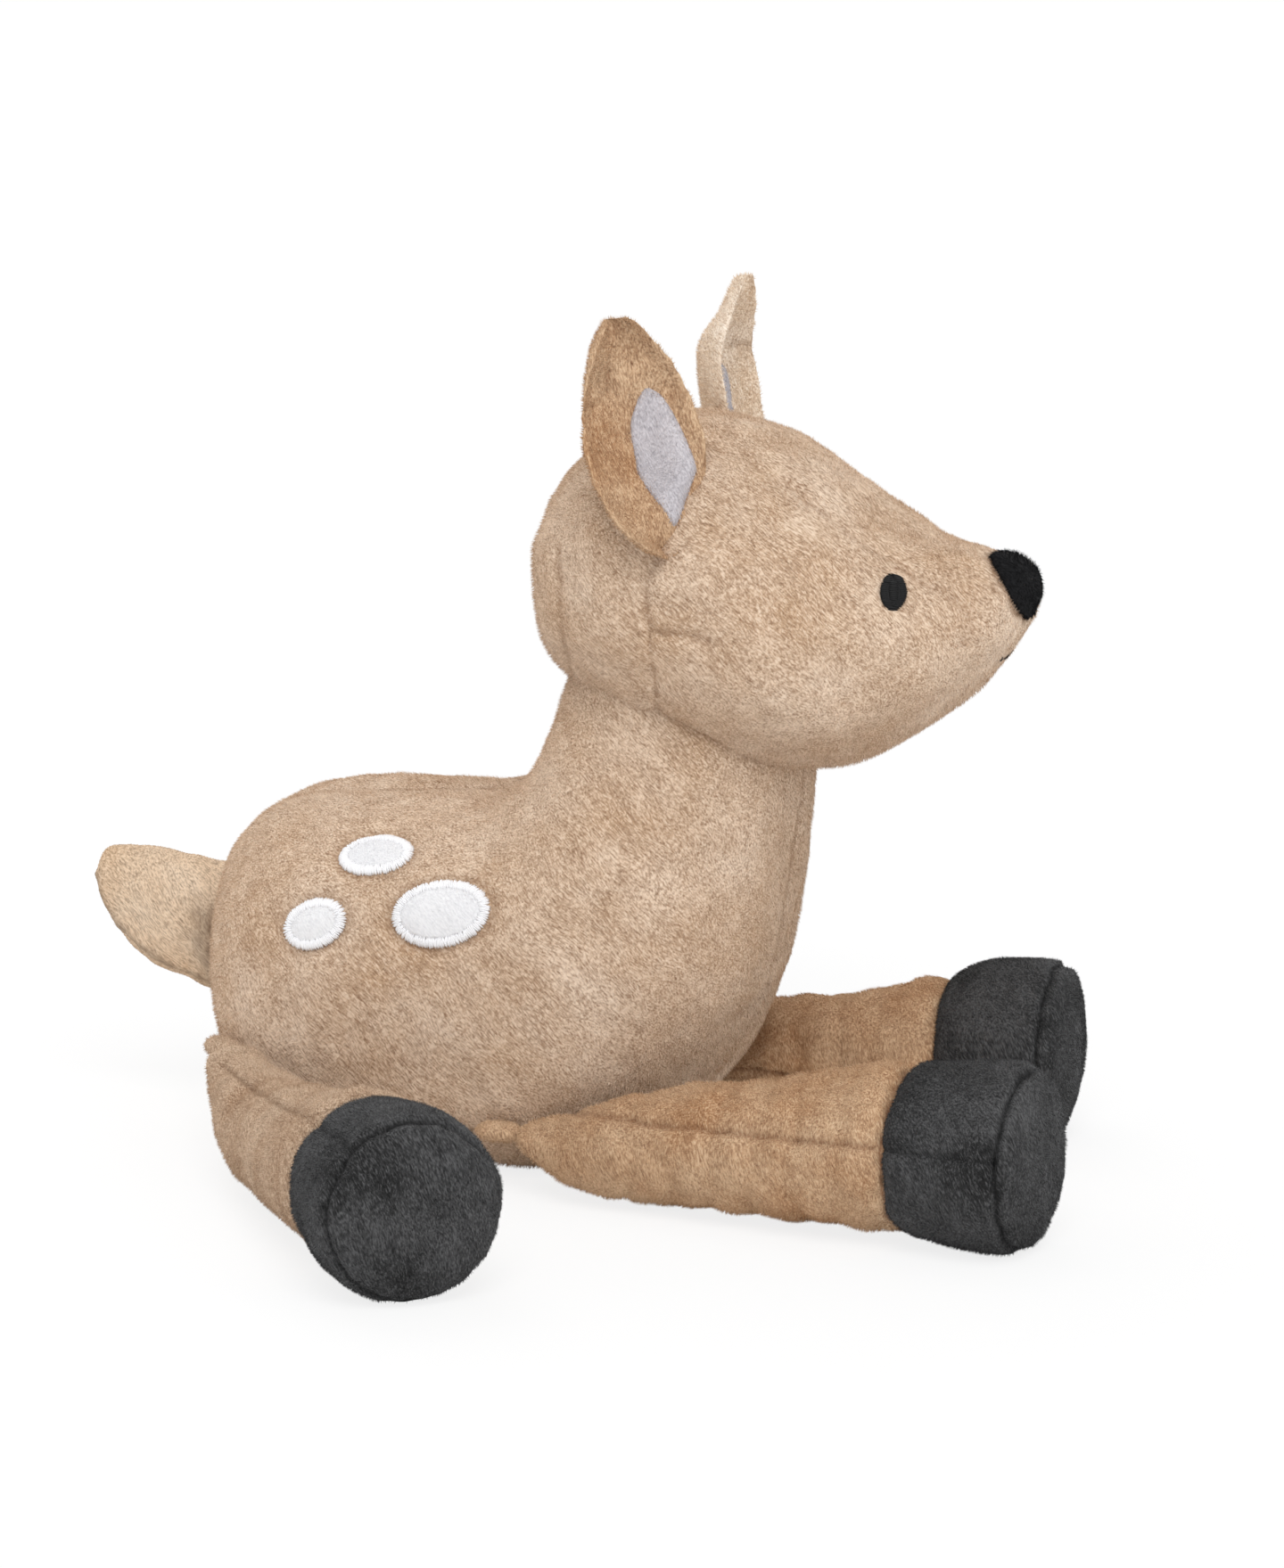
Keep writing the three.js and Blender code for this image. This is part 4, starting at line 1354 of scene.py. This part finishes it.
# The left ear is set a little further back and opens more to the front.
EARS = {
    Side.RIGHT: EarForm(
        (61.348, -28.52, 169.628), (-0.318, -0.114, 0.942), (0.68, -0.7, 0.2), 6.5, 7.0, 1.03, SLEEVE_TAN
    ),
    Side.LEFT: EarForm(
        # The left ear's cloth is lighter for painted light.
        (50.4, -28.52, 169.628), (-0.153, -0.12, 0.98), (0.985, -0.06, 0.2), 7.6, -1.8, 0.965, PALE_TAN, bend=6.5,
        flat_tip=0.6, flat_foot=0.35, lining_out=3.0, lining_edge=0.37,
    ),
}


@dataclass
class Ear:
    """A cupped ear of tan cloth with a pale lining in its hollow."""

    side: Side
    length: float = 47.0
    width: float = 35.0
    thickness: float = 4.8
    bow: float = 4.0
    foot_end: float = 0.45

    SIDES = 36
    # The lining: rings and sides of its sheet, its wall, and how far it is cast from in front of the ear.
    LINING_RINGS, LINING_SIDES = 14, 72
    LINING_WALL = 0.7
    CAST_FROM = 12
    # Shares of the length, then of the width before and behind the middle line, and of the thickness.
    ROWS = (
        (-0.15, -0.43, 0.49, 0.6),
        (-0.12, -0.38, 0.52, 0.85),
        (-0.08, -0.34, 0.574, 1),
        (-0.03, -0.27, 0.633, 1),
        (0.03, -0.195, 0.683, 1),
        (0.09, -0.095, 0.708, 1),
        (0.15, 0.02, 0.712, 1),
        (0.21, 0.145, 0.703, 1),
        (0.29, 0.204, 0.683, 1),
        (0.39, 0.227, 0.652, 1),
        (0.52, 0.233, 0.613, 1),
        (0.62, 0.219, 0.572, 1),
        (0.72, 0.168, 0.513, 0.97),
        (0.81, 0.115, 0.439, 0.9),
        (0.9, 0.055, 0.35, 0.75),
        (0.96, 0.0, 0.28, 0.55),
        (1.0, -0.06, 0.21, 0.35),
    )
    # The lining's outline, as shares of the width and of the length.
    LINING = (
        (0.013, 0.612), (0.073, 0.559), (0.102, 0.468), (0.103, 0.351), (0.083, 0.25), (0.074, 0.189), (0.05, 0.15),
        (-0.038, 0.095), (-0.172, 0.015), (-0.28, -0.042), (-0.31, -0.01), (-0.321, 0.076), (-0.327, 0.145),
        (-0.316, 0.227), (-0.265, 0.325), (-0.21, 0.425), (-0.166, 0.499), (-0.116, 0.543), (-0.071, 0.582),
        (-0.028, 0.612),
    )
    # The edge that is sewn to the head, and two creases on the front, as shares across and along.
    ROOT_LINE = ((-0.47, -0.14), (-0.34, -0.06), (-0.08, 0.09), (0.15, 0.19))
    CREASES = (((-0.62, 0.6), (-0.42, 0.63)), ((-0.2, 0.8), (-0.24, 0.66)))

    def axes(self) -> Array:
        """Returns the ear's directions across, deep and along."""
        form = EARS[self.side]
        rise = np.array(form.rise) / np.linalg.norm(form.rise)
        across = np.cross(rise, form.faces)
        across /= np.linalg.norm(across)
        return np.stack([across, np.cross(rise, across), rise])

    def placed(self, p: Array) -> Array:
        """Turns places on the ear (across, depth, along) into the deer's frame."""
        form = EARS[self.side]
        out = (p * [1, 1, form.stretch]) @ self.axes() + form.root
        out[:, 1] *= -self.side.value
        return out

    def local(self, p: Array) -> Array:
        """Turns places in the deer's frame into places on the ear."""
        right = p * [1, -self.side.value, 1]
        return (right - EARS[self.side].root) @ self.axes().T / [1, 1, EARS[self.side].stretch]

    def off(self, p: Array, line: Sequence[Sequence[float]]) -> Array:
        """Returns the distance to a line on the ear, given in shares across and along."""
        return to_line(self.local(p)[:, [0, 2]], np.array(line) * [self.width, self.length])

    def leaf(self, across: Array, along: Array, span: Array) -> Array:
        """Returns the depth of the ear's middle surface.

        Args:
            across: Places across the leaf from its own middle line.
            along: Shares of the length.
            span: Half widths of the leaf there.
        """
        form = EARS[self.side]
        swung = np.clip(along / self.foot_end, 0, 1)
        foot = form.lean * (1 - swung * swung * (3 - 2 * swung))
        late = np.clip((along - 0.6) / 0.33, 0, 1)
        tip = late * late * (3 - 2 * late)
        bow = 4 * self.bow * np.clip(along, 0, 1) * (1 - along) - form.bend * tip
        flat = form.flat_tip * tip + form.flat_foot * (1 - swung) * (across < 0)
        return bow - foot - form.cup * (1 - flat) * (across / span) ** 2

    def at(self, along: Array) -> Array:
        """Returns the share forwards, the share backwards and the thickness at some places along the ear."""
        table = np.array(self.ROWS, float)
        return spline(table[:, 1:], table[:, 0], along)

    def skin(self) -> Skin:
        """Returns the coarse closed leaf."""
        along = np.concatenate([np.linspace(-0.15, 0.9, 24), [0.94, 0.97, 0.99, 1.0]])
        read = self.at(along)
        middle = (read[:, 0] - read[:, 1])[:, None] * self.width / 2
        half = (read[:, 0] + read[:, 1])[:, None] * self.width / 2
        turn = 2 * math.pi * np.arange(self.SIDES) / self.SIDES
        share, face = np.cos(turn)[None], np.sin(turn)[None]
        wall = np.sign(face) * np.abs(face) ** 0.75 * read[:, 2:3] * self.thickness / 2
        # The front is pulled in along the line where the back's cloth is turned over and sewn down.
        hem = np.where(face < 0, 0.9 * np.exp(-(((np.abs(share) - 0.8) / 0.07) ** 2)), 0)
        hollow = np.where(face < 0, 1.1 * (1 - share**2) * np.sin(math.pi * np.clip(along, 0, 1))[:, None], 0)
        depth = self.leaf(half * share, along[:, None], half) + wall + hem + hollow
        rings = np.stack([middle + half * share, depth, np.broadcast_to(along[:, None] * self.length, depth.shape)], -1)
        ends = [
            np.array([across * self.width, self.leaf(np.zeros(1), np.full(1, at), np.ones(1))[0], up * self.length])
            for across, at, up in ((-0.46, 0.0, -0.158), (-0.135, 1.0, 1.008))
        ]
        made = Skin(rings, *ends).moved(self.placed)
        return made if self.side is Side.RIGHT else Skin(made.rings[:, ::-1], made.first, made.last)

    def build(self, head: BVHTree) -> None:
        """Makes the ear and its lining.

        Args:
            head: Search tree of the head cloth, which the ear's root is drawn up against.
        """
        word, form = self.side.word, EARS[self.side]
        maker = Stuffed(
            f"ear_{word}_cloth", f"{word}_ear", (f"ear_{word}",), "tan_plush", form.finish, fill=0.3, cap=0.4,
            lumps=0.3, lump_size=10, seed=41,
            pile=Pile(length=1.05, per_square_mm=4.8, lean=(-0.2, 0, 0.6), clear_of_table=-1),
        )
        creases = [
            Seam(lambda p, line=line: self.off(p, line), depth=0.8, width=1.3, parts=0.3) for line in self.CREASES
        ]

        def joined(p: Array) -> Array:
            near = np.exp(-((self.off(p, self.ROOT_LINE) / 2.2) ** 2))
            return drawn_to(pushed_out(p, head, -1.2), head, 1.3, near)

        cloth = maker.make(self.skin(), creases, joined, lambda p: np.full(len(p), 0.6))
        sheet, faces = self.lining_sheet()
        places = pushed_out(self.on_cloth(sheet, tree_of(cloth)), head, -0.4)
        lining = mesh_object(f"lining_{word}", places, faces)
        outward(lining)
        thickened(lining, self.LINING_WALL)
        worn(lining, LINING, f"{word}_ear", "ear_plush", f"ear_lining_{word}")
        pile = Pile(length=1.0, width=0.16, per_square_mm=4.5, clear_of_table=-1)
        pile.grown(f"lining_{word}_pile", lining, LINING, 9, f"{word}_ear", "ear_plush")

    def lining_sheet(self) -> tuple[Array, list[tuple[int, ...]]]:
        """Returns the flat lining's places across and along, with their share of the way to its edge, and its faces."""
        form = EARS[self.side]
        outline = np.array(self.LINING) * [self.width, self.length]
        limit = form.lining_edge * self.width
        far = limit * np.tanh(outline[:, 0] * form.lining_out / limit)
        outline[:, 0] = np.where(outline[:, 0] < 0, far, outline[:, 0])
        closed = np.vstack([outline, outline[:1]])
        steps = np.linspace(0, len(closed) - 1, self.LINING_SIDES + 1)[:-1]
        edge = spline(closed, np.arange(len(closed), dtype=float), steps)
        centre = edge.mean(0)
        shares = np.linspace(0, 1, self.LINING_RINGS + 1)
        flat = np.vstack([centre[None]] + [centre + (edge - centre) * share for share in shares[1:]])
        reach = np.concatenate([shares[:1], np.repeat(shares[1:], self.LINING_SIDES)])
        return np.column_stack([flat, reach]), disc(self.LINING_RINGS, self.LINING_SIDES)[1]

    def on_cloth(self, sheet: Array, cloth: BVHTree) -> Array:
        """Lays the lining's places on the front of the ear, its edge turned down into the cloth.

        Args:
            sheet: Places across and along, with their share of the way to the edge.
            cloth: Search tree of the ear's cloth.

        Returns:
            The places in the deer's frame.
        """
        across, up, share = sheet.T
        read = self.at(up / self.length) * self.width
        span = np.maximum((read[:, 0] + read[:, 1]) / 2, 3)
        depth = self.leaf(across - (read[:, 0] - read[:, 1]) / 2, up / self.length, span)
        starts = self.placed(np.stack([across, depth - self.CAST_FROM, up], -1))
        ends = self.placed(np.stack([across, depth, up], -1))
        places = []
        for start, end, reach in zip(starts, ends, share):
            way = Vector(end - start).normalized()
            hit, normal, _, _ = cloth.ray_cast(Vector(start * MM), way)
            base = np.array(hit) / MM if hit else end
            out = np.array(normal) if hit else -np.array(way)
            places.append(base + out * (0.7 - 0.75 * reach**8))
        return np.array(places)


def outward(piece: Piece) -> None:
    """Turns an ear's open sheet so that its faces look away from the middle of the head."""
    places, normals = read_points(piece)
    inside = np.array([62.0, 0.0, places[:, 2].mean()])
    if ((places - inside) * normals).sum() < 0:
        piece.data.flip_normals()


@dataclass
class Tail:
    """The short tail: two leaves of tan cloth over a little filling, turned up at its end."""

    root: tuple[float, float, float] = (-68.408, 0.0, 46.5)
    length: float = 40.0
    height: float = 35.0
    thickness: float = 15.0

    # Shares of the length, of the height over and under the middle, and of the thickness.
    ROWS = (
        (-0.1, 0.49, -0.5, 0.62),
        (0.12, 0.51, -0.47, 0.8),
        (0.32, 0.55, -0.38, 0.98),
        (0.52, 0.57, -0.33, 1),
        (0.72, 0.58, -0.22, 0.86),
        (0.88, 0.56, -0.04, 0.6),
        (0.97, 0.51, 0.26, 0.36),
    )
    # The seam between the two leaves, as it lies on both, by its x and z.
    EDGE = (
        (-107.6, 59.0), (-106.3, 54.7), (-103.4, 50.4), (-100.3, 46.5), (-96.4, 43.1),
        (-92.1, 40.2), (-87.0, 37.9), (-82.7, 36.8), (-77.5, 36.0),
    )
    # The line along which the root is drawn together where it is sewn into the seat seam, and along which the flank's
    # shadow is painted dark on the root.
    PINCH = ((-75.2, 51.0), (-75.0, 44.0), (-73.0, 36.0))

    def place(self, along: float, over: float) -> tuple[float, float]:
        """Returns the x and z of a place given in shares of the tail."""
        return self.root[0] - along * self.length, self.root[2] + over * self.height

    def build(self, torso: BVHTree) -> None:
        """Makes the tail.

        Args:
            torso: Search tree of the body cloth, which the tail's root rests against.
        """
        rows = [
            (*self.place(a, over), *self.place(a, under), thick * self.thickness / 2, 2, 2)
            for a, over, under, thick in self.ROWS
        ]
        skin = loft(rows, self.place(-0.11, 0), self.place(1, 0.4), 20, 28)
        seams = [
            Seam(beside(self.EDGE, 0.0), depth=0.8, width=0.9, parts=0.7),
            # Painted shadow: the flank's shade on the root, wide and dark in the finish's deep colour.
            Seam(beside(self.PINCH, 0.0), depth=2.4, width=3.0, pucker=0.1, parts=0.8, spread=5.0),
        ]
        maker = Stuffed(
            "tail_cloth", "tail", ("tail",), "tan_plush", LIFTED_TAN, fill=0.6, lumps=0.3, lump_size=13, seed=31,
            cap=0.7, pile=Pile(per_square_mm=4.2, lean=(-0.8, 0, -0.3), clear_of_table=-1),
        )
        maker.make(skin, seams, lambda p: pushed_out(p, torso, 0.25))


Frame = tuple[Array, Array, Array]
Drop = Callable[[Array], tuple[Array, Array]]
CAST_HEIGHT = 45  # Millimetres over a cloth, from which flat places are dropped onto it.


def facing(looks: Sequence[float], tilt: float = 0.0) -> Frame:
    """Returns the directions across, up and out of a flat shape that faces one way.

    Args:
        looks: The way it faces.
        tilt: Its turn about that way, in radians.
    """
    out = np.array(looks, float)
    out /= np.linalg.norm(out)
    across = np.cross([0, 0, 1], out)
    across /= np.linalg.norm(across)
    rise = np.cross(out, across)
    return math.cos(tilt) * across + math.sin(tilt) * rise, math.cos(tilt) * rise - math.sin(tilt) * across, out


def cast(flat: Array, middle: Array, frame: Frame, wall: BVHTree) -> tuple[Array, Array]:
    """Drops flat places onto a cloth, straight back against the way they face.

    Args:
        flat: Places across and up.
        middle: Where the shape's middle hangs over the cloth.
        frame: Directions across, up and out.
        wall: The cloth's search tree.

    Returns:
        The places on the cloth and its outward directions.
    """
    places, normals = [], []
    for u, v in flat:
        place = middle + u * frame[0] + v * frame[1]
        hit, normal, _, _ = wall.ray_cast(Vector((place + CAST_HEIGHT * frame[2]) * MM), Vector(-frame[2]))
        places.append(np.array(hit) / MM if hit else place)
        normals.append(np.array(normal) if hit else frame[2])
    return np.array(places), np.array(normals)


def disc(rings: int, sides: int) -> tuple[Array, list[tuple[int, ...]]]:
    """Returns the places of a round sheet of radius 1 and its faces, facing up."""
    turn = 2 * math.pi * np.arange(sides) / sides
    shares = (np.arange(rings) + 1) / rings
    flat = np.vstack([[[0, 0]], *[np.stack([np.cos(turn), np.sin(turn)], -1) * s for s in shares]])
    faces = [(0, 1 + i, 1 + (i + 1) % sides) for i in range(sides)]
    for ring in range(rings - 1):
        a, b = 1 + ring * sides, 1 + (ring + 1) * sides
        faces += [(a + i, b + i, b + (i + 1) % sides, a + (i + 1) % sides) for i in range(sides)]
    return flat, faces


@dataclass(frozen=True)
class Spot:
    """One oval of felt, given on the right flank.

    The middle lies inside the flank, in shares of the body's length, width and height.
    """

    middle: tuple[float, float, float]
    looks: tuple[float, float, float]
    tilt: float
    long: float
    high: float


@dataclass
class Spots:
    """Felt spots on both flanks, each inside a raised border of satin stitch."""

    size: tuple[float, float, float] = (Torso.length, Torso.width, Torso.back)
    border: float = 3.0
    pitch: float = 0.42

    SPOTS = (
        Spot((0.02, -0.428, 0.742), (0, -0.9, 0.43), 0.2, 25.4, 17.0),
        Spot((-0.133, -0.327, 0.843), (0, -0.68, 0.73), 0.08, 19.6, 13.0),
        Spot((-0.222, -0.445, 0.691), (-0.15, -0.93, 0.35), 0.4, 17.6, 12.6),
    )
    # How far the crease round a spot lies from its middle, as a share of the oval, and how deep it looks for the flank.
    CREASE = 1.05
    REACH = 15
    # Millimetres: how far the felt laps under the border, its wall, its rise at the edge and in the middle.
    LAP = 0.6
    WALL = 0.9
    RISE, DOME = 0.65, 0.35
    # Half of a stitch's grip on the cloth, how much it sticks out past the border, and how much it strays.
    GRIP = 1.3
    PAST = 0.25
    STRAY = 0.12

    def off(self, p: Array) -> Array:
        """Returns the distance to the nearest spot's rim, on either flank."""
        away = np.full(len(p), FAR)
        right = np.stack([p[:, 0], -np.abs(p[:, 1]), p[:, 2]], -1)
        for spot in self.SPOTS:
            across, up, out = facing(spot.looks, spot.tilt)
            flat = right - np.array(spot.middle) * self.size
            share = np.hypot(flat @ across / (spot.long / 2), flat @ up / (spot.high / 2))
            rim = np.abs(share - self.CREASE) * spot.high / 2
            away = np.minimum(away, only(rim, np.abs(flat @ out) < self.REACH))
        return away

    def build(self, torso: BVHTree) -> None:
        """Makes the six spots.

        Args:
            torso: Search tree of the body cloth.
        """
        for side in Side:
            flip = np.array([1, -side.value, 1])
            for number, spot in enumerate(self.SPOTS, 1):
                middle = np.array(spot.middle) * self.size * flip
                frame = tuple(way * flip for way in facing(spot.looks, spot.tilt))
                label = f"{number}_{side.word}"
                self.felt(label, spot, side, lambda flat, m=middle, f=frame: cast(flat, m, f, torso))
                self.satin(label, number, spot, lambda flat, m=middle, f=frame: cast(flat, m, f, torso))

    def felt(self, label: str, spot: Spot, side: Side, drop: Drop) -> None:
        """Makes one spot's felt, slightly domed.

        Args:
            label: The spot's number and side.
            spot: Its form.
            side: Its side.
            drop: Drops flat places onto the flank.
        """
        flat, faces = disc(9, 48)
        inner = np.array([spot.long, spot.high]) / 2 - self.border + self.LAP
        places, normals = drop(flat * inner)
        share = np.linalg.norm(flat, axis=1)
        raised = places + normals * (self.RISE + self.DOME * (1 - share**2))[:, None]
        felt = mesh_object(f"spot_felt_{label}", raised, faces)
        if side is Side.LEFT:
            felt.data.flip_normals()
        thickened(felt, self.WALL)
        worn(felt, WHITE, "torso", "white_plush", f"spot_patch_{label}")
        fuzz = Pile(length=0.7, width=0.13, per_square_mm=5.0, lean=(0, 0, 0), clear_of_table=-1)
        fuzz.grown(f"spot_felt_{label}_fuzz", felt, WHITE, 5, "torso", "white_plush")

    def satin(self, label: str, number: int, spot: Spot, drop: Drop) -> None:
        """Lays one spot's border of stitches, evenly along the middle of the border.

        Args:
            label: The spot's number and side.
            number: The spot's number.
            spot: Its form.
            drop: Drops flat places onto the flank.
        """
        half = np.array([spot.long, spot.high]) / 2 - self.border / 2
        turn = np.linspace(0, 2 * math.pi, 721)[:-1]
        rim = np.stack([np.cos(turn), np.sin(turn)], -1) * half
        steps = np.linalg.norm(np.roll(rim, -1, 0) - rim, axis=1)
        run = np.concatenate([[0], np.cumsum(steps)])
        count = int(run[-1] / self.pitch)
        index = np.searchsorted(run, run[-1] * np.arange(count) / count).clip(0, len(turn) - 1)
        at, angle = rim[index], turn[index]
        way = np.stack([np.cos(angle) / half[0], np.sin(angle) / half[1]], -1)
        way /= np.linalg.norm(way, axis=1)[:, None]
        rng = np.random.default_rng(100 + number)
        way += self.STRAY * rng.normal(size=(count, 1)) * np.stack([-way[:, 1], way[:, 0]], -1)
        base, normal = drop(at)
        inside, _ = drop(at - way * self.GRIP)
        outside, _ = drop(at + way * self.GRIP)
        along = outside - inside
        along *= (self.border + self.PAST) / np.linalg.norm(along, axis=1)[:, None]
        places = (base + (inside + outside) / 2) / 2 + normal * 0.25
        stitches = Stitches(width=0.62, height=1.9)
        satin = stitches.laid(f"spot_satin_{label}", places, normal, along, WHITE_THREAD, 3)
        worn(satin, WHITE_THREAD, "torso", "white_thread", f"spot_satin_{label}")


@dataclass
class Face:
    """Embroidered eyes and a mouth of one thread."""

    head: Head
    eye_width: float = 6.4
    eye_height: float = 8.4
    mouth_width: float = 9.0
    mouth_drop: float = 2.4
    thread: float = 0.5

    # Places as shares of the head, along and up, then aside for the eye, and the ways they look.
    EYE, EYE_ASIDE, EYE_LOOKS = (0.484, 0.465), 0.28, (0.3, -0.95, 0.1)
    MOUTH, MOUTH_LOOKS = (0.64, 0.245), (0.8, 0, -0.6)
    # Millimetres: the dome of an eye, the spacing of its rows of stitches, their length and how far they lap.
    DOME = 1.35
    ROW, STITCH, LAP = 0.34, 2.2, 0.5

    def build(self, ground: BVHTree) -> None:
        """Makes both eyes and the mouth.

        Args:
            ground: Search tree of the head cloth.
        """
        for side in Side:
            self.eye(side, ground)
        self.mouth(ground)

    def eye(self, side: Side, ground: BVHTree) -> None:
        """Makes one eye: a padded oval under level satin stitches.

        Args:
            side: Its side.
            ground: Search tree of the head cloth.
        """
        x, z = self.head.place(*self.EYE)
        flip = np.array([1, -side.value, 1])
        middle = np.array([x, -self.EYE_ASIDE * self.head.width, z]) * flip
        frame = tuple(way * flip for way in facing(self.EYE_LOOKS))
        half = np.array([self.eye_width, self.eye_height]) / 2
        flat, faces = disc(10, 44)
        places, normals = cast(flat * half, middle, frame, ground)
        share = np.linalg.norm(flat, axis=1)
        dome = places + normals * (-0.35 + self.DOME * np.sqrt(np.clip(1 - share**2, 0, 1)))[:, None]
        pad = mesh_object(f"eye_{side.word}_pad", dome, faces)
        if side is Side.LEFT:
            pad.data.flip_normals()
        worn(pad, BLACK_THREAD, "torso", "black_thread")
        rows = []
        for v in np.arange(-half[1] + 0.25, half[1], self.ROW):
            reach = half[0] * math.sqrt(max(0, 1 - (v / half[1]) ** 2))
            count = max(1, round(reach * 2 / self.STITCH))
            rows += [(reach * ((2 * i + 1) / count - 1), v, 2 * reach / count + self.LAP) for i in range(count)]
        table = np.array(rows)
        base, normal = cast(table[:, :2], middle, frame, ground)
        bulge = -0.3 + self.DOME * np.sqrt(np.clip(1 - ((table[:, :2] / half) ** 2).sum(1), 0, 1))
        # The stitches follow the dome down on both sides.
        across = frame[0][None] - normal * (normal @ frame[0])[:, None]
        across -= normal * 0.42 * (table[:, :1] / half[0])
        across *= (table[:, 2] / np.linalg.norm(across, axis=1))[:, None]
        places = base + normal * bulge[:, None]
        stitches = Stitches(width=0.5, height=0.55)
        satin = stitches.laid(f"eye_{side.word}_satin", places, normal, across, BLACK_THREAD, 4)
        worn(satin, BLACK_THREAD, "torso", "black_thread", f"eye_{side.word}")

    def mouth(self, ground: BVHTree) -> None:
        """Makes the mouth: one thread that smiles round the front of the muzzle.

        Args:
            ground: Search tree of the head cloth.
        """
        x, z = self.head.place(*self.MOUTH)
        share = np.linspace(-1, 1, 41)
        flat = np.stack([share * self.mouth_width / 2, self.mouth_drop * (share**2 - 0.5)], -1)
        places, normals = cast(flat, np.array([x, 0, z]), facing(self.MOUTH_LOOKS), ground)
        line = places + normals * 0.3
        radius = self.thread / 2 * (1 - 0.5 * share**6)
        along = np.gradient(line, axis=0)
        along /= np.linalg.norm(along, axis=1)[:, None]
        side = np.cross(along, normals)
        turn = 2 * math.pi * np.arange(10) / 10
        ring = np.cos(turn)[None, :, None] * normals[:, None] + np.sin(turn)[None, :, None] * side[:, None]
        made = Skin(line[:, None] + ring * radius[:, None, None], line[0] - along[0] * 0.2, line[-1] + along[-1] * 0.2)
        thread = mesh_object("mouth_thread", made.points(), made.faces())
        worn(thread, BLACK_THREAD, "torso", "black_thread", "mouth_stitch")


@dataclass
class Studio:
    """Camera, lamps and the white floor of a product shot."""

    azimuth: float = 20.0
    elevation: float = 12.5
    distance: float = 1.7
    target: tuple[float, float, float] = (0.0386, 0.0, 0.093)
    focal_share: float = 7727 / 1759

    # Each lamp's name, the way to it, how wide it looks in degrees, and its strength.
    LAMPS = (
        ("key", (0.3, -0.75, 0.95), 35, 1.45),
        ("fill", (1.0, -0.5, 0.4), 50, 0.5),
        ("left", (-1.0, -0.5, 0.5), 50, 0.22),
        ("rim", (-0.5, 0.6, 0.8), 50, 0.75),
    )
    # The light that surrounds the scene, and what the camera sees of it.
    AMBIENT, BACKDROP = 0.5, 1.0
    FLOOR_RADIUS = 6000

    def build(self) -> None:
        """Sets up the whole studio."""
        bpy.context.scene.view_settings.view_transform = "Standard"
        self.camera()
        self.floor()
        self.world()
        for lamp in self.LAMPS:
            self.lamp(*lamp)

    def camera(self) -> None:
        """Puts the camera where the photograph was taken from."""
        data = bpy.data.cameras.new("camera")
        data.sensor_width = 36
        data.lens = 36 * self.focal_share
        data.clip_start, data.clip_end = 0.01, 20
        made = bpy.data.objects.new("camera", data)
        bpy.context.scene.collection.objects.link(made)
        a, e = math.radians(self.azimuth), math.radians(self.elevation)
        back = Vector((math.sin(a) * math.cos(e), -math.cos(a) * math.cos(e), math.sin(e)))
        made.rotation_mode = "QUATERNION"
        made.location = Vector(self.target) + back * self.distance
        made.rotation_quaternion = (-back).to_track_quat("-Z", "Y")
        bpy.context.scene.camera = made

    def floor(self) -> None:
        """Lays a white floor that keeps only the deer's shadow."""
        flat, faces = disc(2, 64)
        floor = mesh_object("floor", np.column_stack([flat * self.FLOOR_RADIUS, np.zeros(len(flat))]), faces)
        floor.data.materials.append(PAPER.material())

    def world(self) -> None:
        """Surrounds the scene with dim light that looks white to the camera."""
        made = bpy.data.worlds.new("studio")
        bpy.context.scene.world = made
        made.use_nodes = True
        tree = made.node_tree
        tree.nodes.clear()
        power = ramp(tree, looked_at(tree), 0.0, 1.0, self.AMBIENT, self.BACKDROP)
        glow = add(tree, "ShaderNodeBackground", Color=linear("ffffff"), Strength=power)
        add(tree, "ShaderNodeOutputWorld", Surface=glow.outputs[0])

    def lamp(self, name: str, place: tuple[float, float, float], spread: float, power: float) -> None:
        """Sets up a wide lamp so far away that the floor is lit evenly.

        Args:
            name: The lamp's name.
            place: The way to it.
            spread: How wide it looks from the deer, in degrees.
            power: Its strength.
        """
        data = bpy.data.lights.new(name, "SUN")
        data.angle, data.energy = math.radians(spread), power
        made = bpy.data.objects.new(name, data)
        bpy.context.scene.collection.objects.link(made)
        made.rotation_mode = "QUATERNION"
        made.rotation_quaternion = Vector(place).to_track_quat("Z", "Y")


# The legs: name, hip, turn about the upright in degrees, highest lift in degrees, seed.
LEGS = (
    Leg("front_right", (20.641, -48.969, 15.13), -3, 30, 11, seam_turn=13),
    Leg(
        "front_left", (-2.703, 49.943, 15.13), -4, 30, 13, sleeve_length=104.5, hoof_length=26.0, ankle=35.8,
        cuff_share=0.79, seam_turn=-25, bend=8, clear_share=0.55,
    ),
    Leg("rear_right", (-54.798, -45.29, 28.48), -48, 50, 15, seam_turn=48, fold_depth=0.8, finish=SHADED_TAN),
    Leg("rear_left", (-54.818, 45.291, 28.48), 78, 50, 17, finish=SHADED_TAN),
)


def main() -> None:
    """Builds the deer piece by piece, then the studio."""
    logging.basicConfig(level=logging.INFO, format="%(name)s: %(message)s")
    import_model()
    Studio().build()
    flank = tree_of(Torso().build())
    head = Head()
    ground = head.build()
    skull = tree_of(ground)
    head.nose(ground)
    Face(head).build(skull)
    LOG.info("body, head and face made")
    for leg in LEGS:
        leg.build(flank)
    for side in Side:
        Ear(side).build(skull)
    Tail().build(flank)
    Spots().build(flank)
    LOG.info("legs, ears, tail and spots made")


if __name__ == "__main__":
    main()
